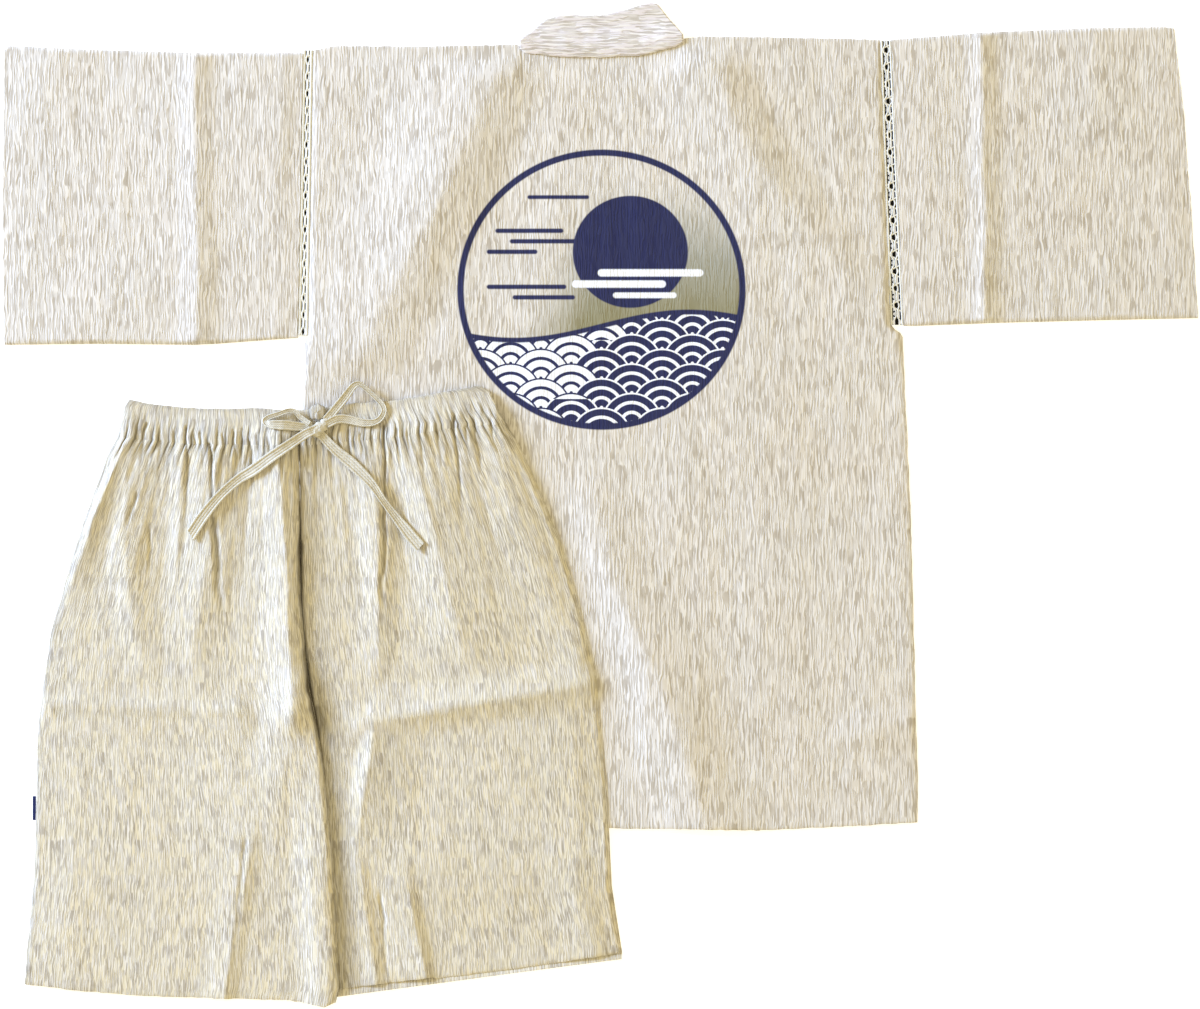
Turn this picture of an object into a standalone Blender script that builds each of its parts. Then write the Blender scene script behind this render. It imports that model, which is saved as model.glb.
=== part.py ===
"""Jinbei set laid flat: a short kimono-cut jacket, back upwards, with drawstring shorts laid over it.

Every length in the tables is in millimetres; the meshes are in metres, +Z up, with the origin on
the surface under the middle of the set. +Y is towards the jacket's collar. Cloth panels lie on each
other: fronts on the surface, the back over them, and the shorts' two layers over the jacket.
"""
import math
from collections import namedtuple

import bmesh
import bpy
import numpy as np
from mathutils import Vector
from mathutils.geometry import delaunay_2d_cdt

MM = 0.001

# ---- driving dimensions -------------------------------------------------------------------------
WALL = 1.2            # one layer of the crinkled cotton
SEAM_GAP = 0.3        # clearance between pieces that touch
LAYER = WALL + SEAM_GAP
BAND_WALL = 1.6       # the doubled collar band
GATHER_WALL = 1.4     # upright thickness of the gathered front, so its slopes stay over 1 mm
LACE_WALL = 1.0

FRONT_LAP = 150.0     # half-width of the stretch where the two fronts lap
LAP_RAMP = 90.0       # run over which a layer climbs onto the lap
DRAPE_MARGIN = 26.0   # the shorts stay level this far past the jacket's edge
DRAPE_RAMP = 90.0     # and come down to the surface over this run
SEAM_FADE = 13.0      # folds die out this close to a side seam
SHOULDER_FADE = 32.0  # and this close to the shoulders
PRESSED_MARGIN = 30.0  # the jacket lies level this far past the shorts that press on it
PRESSED_FADE = 40.0   # and its folds begin over this run

UNDERARM_ROWS = (0.623, 0.6345)   # shares of the back's height between which its sides step out
NECK_ROW = 0.606      # share of the fronts' height where the neck edge turns straight down
SLEEVE_FOLD = 1.5     # outer radius of the sleeve's folded edges
COLLAR_LAP = 2.5      # the band laps the back neck seam by this much
COLLAR_FALL = 30.0    # run over which the band comes down to the surface
COLLAR_RUN_WIDTH = 42.0

CUT_AND_KEEP_HOLES = 5   # the triangulation leaves closed outlines inside the strip open
LACE_PITCH = 17.0     # one repeat of the openwork
LACE_SLOT = (1.5, 8.0)        # start and end of the slot pair in a repeat
UPPER_SLOT_SIDES = (1.2, 3.3)  # inner and outer side of a slot, from the strip's middle
LOWER_SLOT_SIDES = (2.0, 3.7)  # the lower layer's slots are slimmer
LOWER_OFFSET = 8.5    # and lie half a repeat further down, behind the upper layer's bars
LACE_DIAMOND = (12.7, 2.6, 2.2)   # middle, half length and half width of the diamond

LEFT_GATHERS = 22     # gathers over the left leg, and over the right one
RIGHT_GATHERS = 26
GATHER_HEIGHT = 2.3   # mean height of a gather
CASING_CALM = ((0.0, 0.55, 1.0), (1.0, 0.9, 0.45))   # up the casing: share of the gathers' height
LEG_ROWS = (*np.linspace(0.0, 0.86, 14), 0.9, 0.94, 0.972, 1.0)   # shares of a leg's height
GATHERED_FROM = 0.9   # rows from here up follow every gather
LEG_LIFT = 3.8        # the left leg climbs this far to lap over the right one
LEG_LAP_RUN = 26.0
CROTCH = -140.0       # the legs part from here down, the left one rising over this run
CROTCH_RUN = 45.0

TAPE_THICKNESS = 2.2
TAPE_CLEARANCE = 0.4
KNOT_RADII = (8.6, 7.2, 4.0)
KNOT_PLACE = (-282.5, 80.5)
KNOT_SEAT = 3.5       # half-width of the patch that the knot rests on

TAB = dict(top=-291.5, bottom=-315.5, reach=3.2, low=0.7, high=1.9)

# ---- edges: a side edge has its x at a few heights y, a level edge its y at a few places x ------
Side = namedtuple("Side", "y x")
Level = namedtuple("Level", "x y")
Panel = namedtuple("Panel", "left right top bottom")

JACKET = Panel(
    left=[Side(459.5, -287.0), Side(314.5, -289.5), Side(168.4, -292.0), Side(159.4, -296.0),
          Side(104.5, -297.5), Side(4.5, -300.5), Side(-95.5, -303.5), Side(-195.5, -307.5),
          Side(-275.5, -311.5), Side(-327.5, -314.5)],
    right=[Side(464.5, 279.5), Side(314.5, 284.5), Side(178.6, 289.8), Side(169.6, 302.0),
           Side(104.5, 304.5), Side(4.5, 309.5), Side(-95.5, 312.5), Side(-195.5, 314.5),
           Side(-275.5, 317.5), Side(-317.5, 316.5)],
    top=[Level(-287.0, 454.0), Level(-265.5, 458.5), Level(-180.5, 457.5), Level(-83.5, 459.5),
         Level(-75.5, 453.5), Level(-40.5, 449.5), Level(-0.5, 449.0), Level(39.5, 451.0),
         Level(74.5, 459.5), Level(84.5, 465.5), Level(99.5, 467.5), Level(199.5, 466.5),
         Level(279.5, 464.5)],
    bottom=[Level(-314.5, -327.5), Level(-150.5, -325.5), Level(9.5, -323.5), Level(99.5, -324.5),
            Level(159.5, -325.5), Level(249.5, -321.5), Level(316.5, -317.5)])

SLEEVE_LEFT = Panel(
    left=[Side(455.5, -595.5), Side(304.5, -597.5), Side(159.5, -595.5)],
    right=[Side(451.5, -297.5), Side(166.5, -302.5)],
    top=[Level(-595.5, 455.5), Level(-592.5, 458.5), Level(-500.5, 454.5), Level(-404.5, 451.5),
         Level(-297.5, 451.5)],
    bottom=[Level(-595.5, 159.5), Level(-500.5, 160.5), Level(-403.5, 159.5), Level(-380.5, 160.5),
            Level(-297.5, 166.5)])

SLEEVE_RIGHT = Panel(
    left=[Side(464.5, 290.5), Side(178.5, 303.0)],
    right=[Side(476.5, 572.5), Side(404.5, 581.5), Side(304.5, 589.5), Side(182.5, 597.5)],
    top=[Level(290.5, 464.5), Level(379.5, 471.5), Level(399.5, 472.5), Level(499.5, 476.5),
         Level(565.5, 477.5), Level(572.5, 476.5)],
    bottom=[Level(304.5, 178.5), Level(384.5, 181.5), Level(499.5, 184.5), Level(589.5, 186.5),
            Level(597.5, 182.5)])

COLLAR_TOP = [Level(-81.0, 463.5), Level(-55.5, 484.5), Level(-40.5, 489.5), Level(-0.5, 488.5),
              Level(24.5, 494.5), Level(49.5, 501.5), Level(56.5, 500.5), Level(64.5, 490.5),
              Level(83.0, 469.0)]
NECK_EDGE_LEFT = [Side(459.0, -80.0), Side(150.0, 48.0), Side(-324.0, 52.0)]
NECK_EDGE_RIGHT = [Side(465.0, 82.0), Side(150.0, -46.0), Side(-324.0, -50.0)]

WAIST_TOP = [Level(-470.5, 104.5), Level(-449.5, 100.5), Level(-411.5, 96.5), Level(-372.5, 95.5),
             Level(-347.5, 96.5), Level(-315.5, 94.0), Level(-295.5, 94.5), Level(-250.5, 100.5),
             Level(-200.5, 104.5), Level(-160.5, 111.5), Level(-121.5, 118.5)]
CASING_SEAM = [Level(-481.5, 67.5), Level(-411.5, 60.5), Level(-300.5, 58.5), Level(-200.5, 67.5),
               Level(-145.5, 76.5), Level(-93.7, 80.5)]
WAISTBAND = Panel(
    left=[Side(104.5, -470.5), Side(97.5, -475.5), Side(67.5, -481.5)],
    right=[Side(118.5, -121.5), Side(112.5, -110.5), Side(93.5, -101.5), Side(80.5, -93.7)],
    top=WAIST_TOP, bottom=CASING_SEAM)

OUTER_LEFT = [Side(67.5, -481.5), Side(47.5, -492.5), Side(12.5, -505.5), Side(-15.5, -515.5),
              Side(-56.5, -528.5), Side(-125.5, -548.5), Side(-175.5, -556.5),
              Side(-229.5, -562.5), Side(-370.5, -565.5), Side(-435.5, -572.5),
              Side(-479.5, -575.5)]
OUTER_RIGHT = [Side(80.5, -93.7), Side(58.5, -80.5), Side(14.5, -60.5), Side(-35.5, -40.5),
               Side(-85.5, -25.5), Side(-145.5, -10.5), Side(-175.5, -3.5), Side(-209.5, -1.5),
               Side(-322.5, 8.5), Side(-382.5, 11.5), Side(-427.5, 18.5), Side(-446.5, 21.5)]
INNER_LEFT = [Side(58.5, -300.5), Side(34.5, -300.5), Side(-97.5, -298.5), Side(-180.5, -295.5),
              Side(-255.5, -282.5), Side(-345.5, -272.5), Side(-425.5, -264.5),
              Side(-480.5, -260.5), Side(-500.5, -264.5)]
INNER_RIGHT = [Side(58.5, -300.2), Side(34.5, -300.2), Side(-97.5, -298.2), Side(-180.5, -295.0),
               Side(-215.0, -289.2), Side(-255.0, -284.5), Side(-345.5, -282.5),
               Side(-485.5, -274.5)]
HEM_LEFT = [Level(-575.5, -479.5), Level(-513.5, -486.5), Level(-450.5, -491.5),
            Level(-360.5, -494.0), Level(-310.5, -495.5), Level(-275.5, -501.5),
            Level(-262.5, -496.5)]
HEM_RIGHT = [Level(-274.5, -486.5), Level(-261.5, -484.5), Level(-169.5, -472.5),
             Level(-163.5, -473.5), Level(-80.5, -463.5), Level(16.5, -448.5)]
HEM_RIGHT_BACK = [Level(-274.5, -493.5), Level(-169.5, -479.5), Level(-80.5, -467.5),
                  Level(19.5, -454.5)]

# ---- folds: the crest runs through three places, with its height there and its two flanks -------
Fold = namedtuple("Fold", "x0 y0 x1 y1 x2 y2 left right h0 h1 h2")

JACKET_FOLDS = [
    Fold(-130, 450, -180, 305, -250, 150, 95, 60, 5.0, 6.0, 4.0),
    Fold(115, 455, 120, 375, 140, 300, 80, 75, 4.5, 4.0, 0.0),
    Fold(40, 20, 60, -135, 104, -322, 60, 80, 1.5, 4.5, 5.0),
    Fold(250, 60, 262, -120, 270, -300, 90, 40, 0.5, 2.5, 2.0)]
SLEEVE_LEFT_FOLDS = [
    Fold(-404, 470, -404, 305, -403, 150, 19, 19, 2.6, 2.4, 2.6),
    Fold(-545, 470, -560, 400, -575, 330, 30, 60, 2.0, 1.2, 0.0),
    Fold(-470, 250, -500, 210, -520, 150, 50, 60, 0.0, 1.4, 1.0)]
SLEEVE_RIGHT_FOLDS = [
    Fold(382, 490, 384, 330, 386, 170, 17, 19, 2.6, 2.4, 2.6),
    Fold(480, 485, 500, 400, 520, 330, 60, 50, 1.6, 1.4, 0.0)]
LEG_LEFT_FOLDS = [
    Fold(-318, 62, -316, -60, -312, -190, 26, 16, 4.5, 5.5, 6.0),
    Fold(-312, -190, -330, -300, -366, -496, 30, 26, 6.0, 4.0, 3.5),
    Fold(-283, -285, -284, -370, -274, -498, 20, 14, 1.5, 3.5, 4.0),
    Fold(-391, 55, -395, -60, -402, -190, 42, 18, 4.0, 3.5, 1.5),
    Fold(-450, 58, -476, -60, -494, -130, 30, 24, 3.0, 2.5, 0.5),
    Fold(-362, 56, -364, 0, -365, -70, 12, 10, 3.0, 2.0, 0.0),
    Fold(-425, 60, -430, 10, -437, -50, 12, 10, 2.5, 1.5, 0.0),
    Fold(-552, -212, -450, -208, -365, -205, 24, 24, 1.6, 1.8, 0.8),
    Fold(-450, -260, -452, -380, -455, -470, 60, 45, 0.0, 2.0, 1.5)]
LEG_RIGHT_FOLDS = [
    Fold(-289, 62, -289, -90, -287, -180, 10, 42, 4.5, 5.0, 4.5),
    Fold(-217, 68, -218, -10, -221, -110, 32, 8, 5.0, 4.0, 1.0),
    Fold(-176, 72, -168, -50, -162, -175, 24, 26, 3.0, 3.0, 1.0),
    Fold(-146, 76, -147, 20, -150, -30, 15, 8, 3.2, 2.0, 0.0),
    Fold(-122, 78, -92, -55, -70, -155, 26, 22, 3.0, 2.5, 0.5),
    Fold(-246, 62, -248, 20, -250, -40, 12, 12, 2.5, 2.0, 0.0),
    Fold(-240, -232, -170, -218, -8, -196, 42, 92, 4.0, 6.0, 3.0),
    Fold(-230, -236, -231, -270, -239, -340, 14, 26, 4.0, 4.0, 1.0),
    Fold(-284, -184, -264, -236, -246, -262, 8, 28, 3.0, 4.0, 1.5),
    Fold(-204, -335, -188, -400, -168, -474, 36, 6, 0.0, 3.0, 5.5),
    Fold(-243, -360, -236, -395, -222, -482, 13, 13, 0.8, 2.0, 2.6)]

# ---- tape: places along its middle, its width there and how far it is lifted over what it crosses
Stop = namedtuple("Stop", "x y width lift")

TAIL_LEFT = [Stop(-294.5, 70.5, 8.5, 3.0), Stop(-302.5, 63.0, 9.0, 2.0), Stop(-312.0, 55.5, 10.0, 0.4),
             Stop(-329.5, 43.5, 11.0, 0.0), Stop(-344.5, 32.5, 11.0, 0.0), Stop(-362.5, 23.5, 9.5, 0.0),
             Stop(-380.0, 7.5, 10.0, 0.0), Stop(-396.0, -12.0, 11.5, 0.0), Stop(-408.5, -30.5, 12.0, 0.0)]
TAIL_RIGHT = [Stop(-276.5, 67.5, 9.5, 0.0), Stop(-264.5, 54.5, 11.0, 0.0), Stop(-247.5, 41.5, 11.5, 0.0),
              Stop(-228.5, 21.5, 9.5, 0.0), Stop(-215.5, 3.0, 7.0, 0.0), Stop(-201.5, -15.5, 9.5, 0.0),
              Stop(-190.5, -29.5, 12.0, 0.0), Stop(-179.5, -42.5, 12.0, 0.0)]
LOOP_RIGHT = [Stop(-272.0, 90.0, 7.5, 3.4), Stop(-260.5, 102.5, 8.5, 1.2), Stop(-248.5, 115.5, 7.5, 0.0),
              Stop(-242.5, 119.0, 7.0, 0.0), Stop(-233.0, 113.5, 7.5, 0.0), Stop(-221.0, 104.0, 8.0, 0.0),
              Stop(-215.5, 95.5, 7.0, 0.0), Stop(-220.0, 86.0, 7.5, 0.0), Stop(-232.0, 82.0, 10.0, 0.0),
              Stop(-250.5, 84.0, 11.0, 0.0), Stop(-268.5, 80.0, 7.5, 0.0)]
LOOP_LEFT = [Stop(-296.0, 79.0, 6.5, 0.0), Stop(-304.0, 76.8, 7.0, 0.0), Stop(-317.5, 77.5, 7.5, 0.0),
             Stop(-330.0, 80.5, 7.0, 0.0), Stop(-334.8, 85.0, 6.5, 0.0), Stop(-330.0, 89.5, 6.5, 0.0),
             Stop(-319.5, 92.3, 7.0, 0.0), Stop(-306.5, 93.0, 7.0, 0.0), Stop(-294.5, 90.5, 6.0, 0.0)]

Paint = namedtuple("Paint", "colour roughness")
PAINTS = {
    "crinkled_cotton": Paint((0.74, 0.69, 0.58, 1.0), 0.9),
    "lace_cotton": Paint((0.80, 0.77, 0.70, 1.0), 0.85),
    "collar_cotton": Paint((0.79, 0.74, 0.69, 1.0), 0.9),
    "tape_cotton": Paint((0.70, 0.63, 0.50, 1.0), 0.85),
    "navy_tab": Paint((0.025, 0.032, 0.11, 1.0), 0.8)}


# ---- shared sums --------------------------------------------------------------------------------
def read(table, at):
    """A table's second column, read at values of its first one, straight between its rows."""
    rows = sorted(table)
    return np.interp(at, [row[0] for row in rows], [row[1] for row in rows])


def shifted(table, by):
    """The same edge with its second column moved by a distance."""
    return [type(row)(row[0], row[1] + by) for row in table]


def soft_step(t):
    """0 to 1 with level ends: t squared times (3 - 2t)."""
    t = np.clip(t, 0.0, 1.0)
    return t * t * (3.0 - 2.0 * t)


def lay_out(panel, across, up):
    """Plan places of a panel's grid, rows from its bottom edge to its top one."""
    u, v = np.meshgrid(np.asarray(across, float), np.asarray(up, float))
    low = np.mean([row.y for row in panel.bottom])
    high = np.mean([row.y for row in panel.top])
    y = low + (high - low) * v
    for _ in range(12):
        x = (1.0 - u) * read(panel.left, y) + u * read(panel.right, y)
        y = (1.0 - v) * read(panel.bottom, x) + v * read(panel.top, x)
    return x, y


def fold_height(fold, x, y):
    """Height of one fold: full on its crest, falling softly to nothing at the edge of each flank.

    The left flank lies towards -X, and above a crest that runs level from left to right.
    """
    places = [(fold.x0, fold.y0, fold.h0), (fold.x1, fold.y1, fold.h1), (fold.x2, fold.y2, fold.h2)]
    nearest = np.full(np.shape(x), np.inf)
    height = np.zeros(np.shape(x))
    for (ax, ay, ah), (bx, by, bh) in zip(places, places[1:]):
        run = math.hypot(bx - ax, by - ay)
        along = np.clip(((x - ax) * (bx - ax) + (y - ay) * (by - ay)) / run ** 2, 0.0, 1.0)
        off_x = x - ax - along * (bx - ax)
        off_y = y - ay - along * (by - ay)
        away = np.hypot(off_x, off_y)
        side = (off_x * (by - ay) - off_y * (bx - ax)) / (run * np.maximum(away, 1e-6))
        side = -side if by < ay else side
        flank = fold.left + (fold.right - fold.left) * soft_step(0.5 + 0.5 * side)
        here = (ah + (bh - ah) * along) * soft_step(1.0 - away / flank)
        height = np.where(away < nearest, here, height)
        nearest = np.minimum(away, nearest)
    return height


def folds_height(folds, x, y):
    """Heights of all folds together."""
    return sum(fold_height(fold, x, y) for fold in folds)


def held_at_seams(panel, x, y):
    """1 inside a panel, 0 at its two side seams."""
    return (soft_step((x - read(panel.left, y)) / SEAM_FADE)
            * soft_step((read(panel.right, y) - x) / SEAM_FADE))


# ---- how high each layer lies -------------------------------------------------------------------
def lap_height(x):
    """What a layer climbs where the fronts lap, at the middle of the jacket."""
    return LAYER * soft_step((FRONT_LAP + LAP_RAMP - np.abs(x)) / LAP_RAMP)


def past_shorts(x, y):
    """0 under the shorts and beside them, 1 well clear of them."""
    side = x - read(OUTER_RIGHT + [Side(112.5, -110.5)], y)
    above = y - read(WAIST_TOP, x)
    return soft_step((np.maximum(side, above) - PRESSED_MARGIN) / PRESSED_FADE)


def back_under(x, y):
    """Underside of the jacket's back."""
    shoulder = soft_step((read(JACKET.top, x) - y - COLLAR_LAP) / SHOULDER_FADE)
    held = held_at_seams(JACKET, x, y) * past_shorts(x, y) * shoulder
    return LAYER + lap_height(x) + folds_height(JACKET_FOLDS, x, y) * held


def carried(x, y):
    """Height of what carries the shorts: the jacket where it lies under them, else the surface."""
    near_y = np.maximum(y, read(JACKET.bottom, x))
    near_x = np.maximum(x, read(JACKET.left, near_y))
    away = np.hypot(x - near_x, y - near_y)
    top = LAYER + lap_height(near_x) + LAYER
    return top * soft_step(1.0 - (away - DRAPE_MARGIN) / DRAPE_RAMP)


def left_leg_lift(x, y):
    """The left leg climbs onto the right one along its inner edge, below the crotch."""
    from_edge = x - (read(INNER_RIGHT, y) - LEG_LAP_RUN - 4.0)
    return LEG_LIFT * soft_step(from_edge / LEG_LAP_RUN) * soft_step((CROTCH - y) / CROTCH_RUN)


def gather_profile(count):
    """Half-steps across a gathered stretch: where each is, its height and how far down it runs."""
    step = np.arange(2 * count + 1)
    place = step / (2.0 * count) + 0.12 / count * np.sin(1.7 * step)
    place[0], place[-1] = 0.0, 1.0
    height = GATHER_HEIGHT * (1.0 + 0.28 * np.sin(2.3 * step) + 0.2 * np.sin(0.9 * step + 1.0))
    height = np.where(step % 2 == 1, height, 0.0)
    reach = 34.0 + 14.0 * np.sin(1.3 * step) + 10.0 * np.sin(0.47 * step + 2.0)
    return place, height, reach


def casing_profile():
    """The two legs' half-steps side by side across the whole casing."""
    left_place, left_height, _ = gather_profile(LEFT_GATHERS)
    right_place, right_height, _ = gather_profile(RIGHT_GATHERS)
    low_left, low_right = WAISTBAND.left[-1].x, WAISTBAND.right[-1].x
    seam = (INNER_LEFT[0].x - low_left) / (low_right - low_left)
    place = np.concatenate([left_place * seam, seam + right_place[1:] * (1 - seam)])
    return place, np.concatenate([left_height, right_height[1:]])


def share_across(panel, x, y):
    """How far across a panel a place lies, from 0 at its left edge to 1 at its right one."""
    left, right = read(panel.left, y), read(panel.right, y)
    return np.clip((x - left) / (right - left), 0.0, 1.0)


def casing_under(x, y):
    """Underside of the gathered front of the casing."""
    place, height = casing_profile()
    seam_y = read(CASING_SEAM, x)
    up = np.clip((y - seam_y) / (read(WAIST_TOP, x) - seam_y), 0.0, 1.0)
    gathers = np.interp(share_across(WAISTBAND, x, y), place, height) * np.interp(up, *CASING_CALM)
    at_seam = np.where(x < INNER_LEFT[0].x,
                       folds_height(LEG_LEFT_FOLDS, x, seam_y) * held_at_seams(LEG_LEFT, x, seam_y),
                       folds_height(LEG_RIGHT_FOLDS, x, seam_y) * held_at_seams(LEG_RIGHT, x, seam_y))
    return carried(x, y) + LAYER + at_seam * (1.0 - 0.8 * soft_step(up)) + gathers


def leg_under(leg, x, y):
    """Underside of a leg's front, on its folds and on the gathers that die out below the casing."""
    place, height, reach = gather_profile(leg.gathers)
    across = share_across(leg.front, x, y)
    down = read(CASING_SEAM, x) - y
    gathers = np.interp(across, place, height) * soft_step(1.0 - down / np.interp(across, place, reach))
    relief = folds_height(leg.folds, x, y) * held_at_seams(leg.front, x, y)
    return carried(x, y) + leg.lift(x, y) + LAYER + relief + gathers


def front_top(x, y):
    """Upper side of the shorts' front at any place."""
    legs = np.where(x < read(INNER_LEFT, y), leg_under(LEFT, x, y), leg_under(RIGHT, x, y))
    return np.where(y > read(CASING_SEAM, x), casing_under(x, y), legs) + GATHER_WALL


Leg = namedtuple("Leg", "side front back folds gathers lift")
LEG_LEFT = Panel(OUTER_LEFT, shifted(INNER_LEFT, -SEAM_GAP), CASING_SEAM, HEM_LEFT)
LEG_RIGHT = Panel(INNER_RIGHT, shifted(OUTER_RIGHT, -1.5), CASING_SEAM, HEM_RIGHT)
LEFT = Leg("left", LEG_LEFT,
           Panel(shifted(OUTER_LEFT, 0.8), LEG_LEFT.right, CASING_SEAM, shifted(HEM_LEFT, 1.5)),
           LEG_LEFT_FOLDS, LEFT_GATHERS, left_leg_lift)
RIGHT = Leg("right", LEG_RIGHT, Panel(INNER_RIGHT, OUTER_RIGHT, CASING_SEAM, HEM_RIGHT_BACK),
            LEG_RIGHT_FOLDS, RIGHT_GATHERS, lambda x, y: np.zeros(np.shape(x)))


# ---- meshes -------------------------------------------------------------------------------------
def make_material(name):
    """A plain Principled material in the piece's own colour."""
    paint = PAINTS[name]
    material = bpy.data.materials.new(name)
    material.use_nodes = True
    shader = material.node_tree.nodes["Principled BSDF"]
    shader.inputs["Base Color"].default_value = paint.colour
    shader.inputs["Roughness"].default_value = paint.roughness
    shader.inputs["Metallic"].default_value = 0.0
    return material


def place_object(name, data, material, collection, parent):
    """Link a finished mesh or curve under its node name."""
    data.materials.append(material)
    thing = bpy.data.objects.new(name, data)
    collection.objects.link(thing)
    thing.parent = parent
    return thing


def grid_faces(rows, columns, ring=False):
    """Corners of the faces between the rows of a grid; a ring also closes each row."""
    width = columns if ring else columns - 1
    faces = []
    for row in range(rows - 1):
        for column in range(width):
            after = (column + 1) % columns
            a = row * columns + column
            b = row * columns + after
            faces.append((a, b, b + columns, a + columns))
    return faces


def cloth_layer(name, x, y, z, wall, kit):
    """A panel as an open sheet, its underside at z, thickened upwards."""
    points = np.stack([x, y, z], axis=-1).reshape(-1, 3) * MM
    mesh = bpy.data.meshes.new(name)
    mesh.from_pydata(points.tolist(), [], grid_faces(*x.shape))
    sheet = place_object(name, mesh, kit.materials[kit.pick[name]], kit.collection, kit.parent)
    thick = sheet.modifiers.new("wall", "SOLIDIFY")
    thick.thickness = wall * MM
    thick.offset = 1.0
    return sheet


def closed_wall(name, rows, wall, kit):
    """A wall between a sheet of rows of points and the same rows raised upright by the wall.

    The rows may hold unlike numbers of points, one row twice the steps of the next: the faces
    between such rows have five corners. The rim joins the two sheets.
    """
    starts = np.concatenate([[0], np.cumsum([len(row) for row in rows])])
    under = np.concatenate(rows)
    over = under + np.array([0.0, 0.0, wall])
    sheet = []
    for index, (low, high) in enumerate(zip(rows, rows[1:])):
        ratio = (len(high) - 1) // (len(low) - 1)
        for step in range(len(low) - 1):
            bottom = [starts[index] + step, starts[index] + step + 1]
            first = starts[index + 1] + ratio * step
            sheet.append(bottom + [first + ratio - k for k in range(ratio + 1)])
    left_rim = [starts[i] for i in range(len(rows))]
    right_rim = [starts[i + 1] - 1 for i in range(len(rows))]
    rim = list(range(starts[0], starts[1])) + right_rim[1:]
    rim += list(range(starts[-2], starts[-1]))[::-1][1:] + left_rim[::-1][1:-1]
    count = len(under)
    faces = [[int(i) + count for i in face] for face in sheet]
    faces += [[int(i) for i in face[::-1]] for face in sheet]
    for a, b in zip(rim, rim[1:] + rim[:1]):
        faces.append([int(a), int(b), int(b) + count, int(a) + count])
    mesh = bpy.data.meshes.new(name)
    mesh.from_pydata((np.concatenate([under, over]) * MM).tolist(), [], faces)
    return place_object(name, mesh, kit.materials[kit.pick[name]], kit.collection, kit.parent)


def add_jacket_body(kit):
    """The back, the two lapped fronts under it and the collar band round the neck and the fronts."""
    rows = np.sort(np.append(np.linspace(0, 1, 23), UNDERARM_ROWS))
    x, y = lay_out(JACKET, np.linspace(0, 1, 20), rows)
    cloth_layer("back_body", x, y, back_under(x, y), WALL, kit)

    inset = 1.0
    left = Panel(shifted(JACKET.left, inset), NECK_EDGE_LEFT, shifted(JACKET.top, -inset),
                 shifted(JACKET.bottom, inset))
    rows = np.sort(np.append(np.linspace(0, 1, 8), (NECK_ROW, *UNDERARM_ROWS)))
    x, y = lay_out(left, np.linspace(0, 1, 8), rows)
    cloth_layer("front_left", x, y, np.zeros(x.shape), WALL, kit)
    right = Panel(NECK_EDGE_RIGHT, shifted(JACKET.right, -inset), left.top, left.bottom)
    x, y = lay_out(right, np.linspace(0, 1, 19), rows)
    right_lap = np.where(x > 0, lap_height(x), LAYER)
    cloth_layer("front_right", x, y, right_lap, WALL, kit)

    run_left = Panel(shifted(NECK_EDGE_LEFT, SEAM_GAP), shifted(NECK_EDGE_LEFT, COLLAR_RUN_WIDTH),
                     left.top, left.bottom)
    x, y = lay_out(run_left, (0.0, 0.5, 1.0), rows)
    cloth_layer("collar_run_left", x, y, np.zeros(x.shape), WALL, kit)
    run_right = Panel(shifted(NECK_EDGE_RIGHT, -COLLAR_RUN_WIDTH), shifted(NECK_EDGE_RIGHT, -SEAM_GAP),
                      left.top, left.bottom)
    x, y = lay_out(run_right, (0.0, 0.5, 1.0), rows)
    cloth_layer("collar_run_right", x, y, np.full(x.shape, LAYER), WALL, kit)

    ends = ([Side(0.0, -81.0)], [Side(0.0, 83.0)])
    band = Panel(*ends, COLLAR_TOP, shifted(JACKET.top, -COLLAR_LAP))
    x, y = lay_out(band, np.linspace(0, 1, 19), (0.0, 0.12, 0.4, 0.7, 1.0))
    fall = soft_step(1.0 - (y - read(JACKET.top, x) - 2.0) / COLLAR_FALL)
    rest = LAYER + lap_height(x) + LAYER
    ripple = 0.5 * (1.0 + np.sin(x / 9.0 + 0.12 * y)) * np.clip((y - read(JACKET.top, x)) / 20, 0, 1)
    cloth_layer("collar_back", x, y, rest * fall + ripple * fall, BAND_WALL, kit)


def sleeve_ring(low, high, top_height, steps):
    """Places (y, z) round a flattened sleeve: along its lower layer, over the fold and back."""
    turn = np.linspace(-90, 90, 5)[1:-1] * math.pi / 180
    lower = np.linspace(low + SLEEVE_FOLD, high - SLEEVE_FOLD, 3)
    ring = [(value, 0.0) for value in lower]
    ring += [(high - SLEEVE_FOLD + SLEEVE_FOLD * math.cos(t), SLEEVE_FOLD * (1 + math.sin(t))) for t in turn]
    upper = np.linspace(high - SLEEVE_FOLD, low + SLEEVE_FOLD, steps)
    ring += [(value, 2 * SLEEVE_FOLD + top_height(value)) for value in upper]
    ring += [(low + SLEEVE_FOLD - SLEEVE_FOLD * math.cos(t), SLEEVE_FOLD * (1 - math.sin(t))) for t in turn]
    return ring


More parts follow.
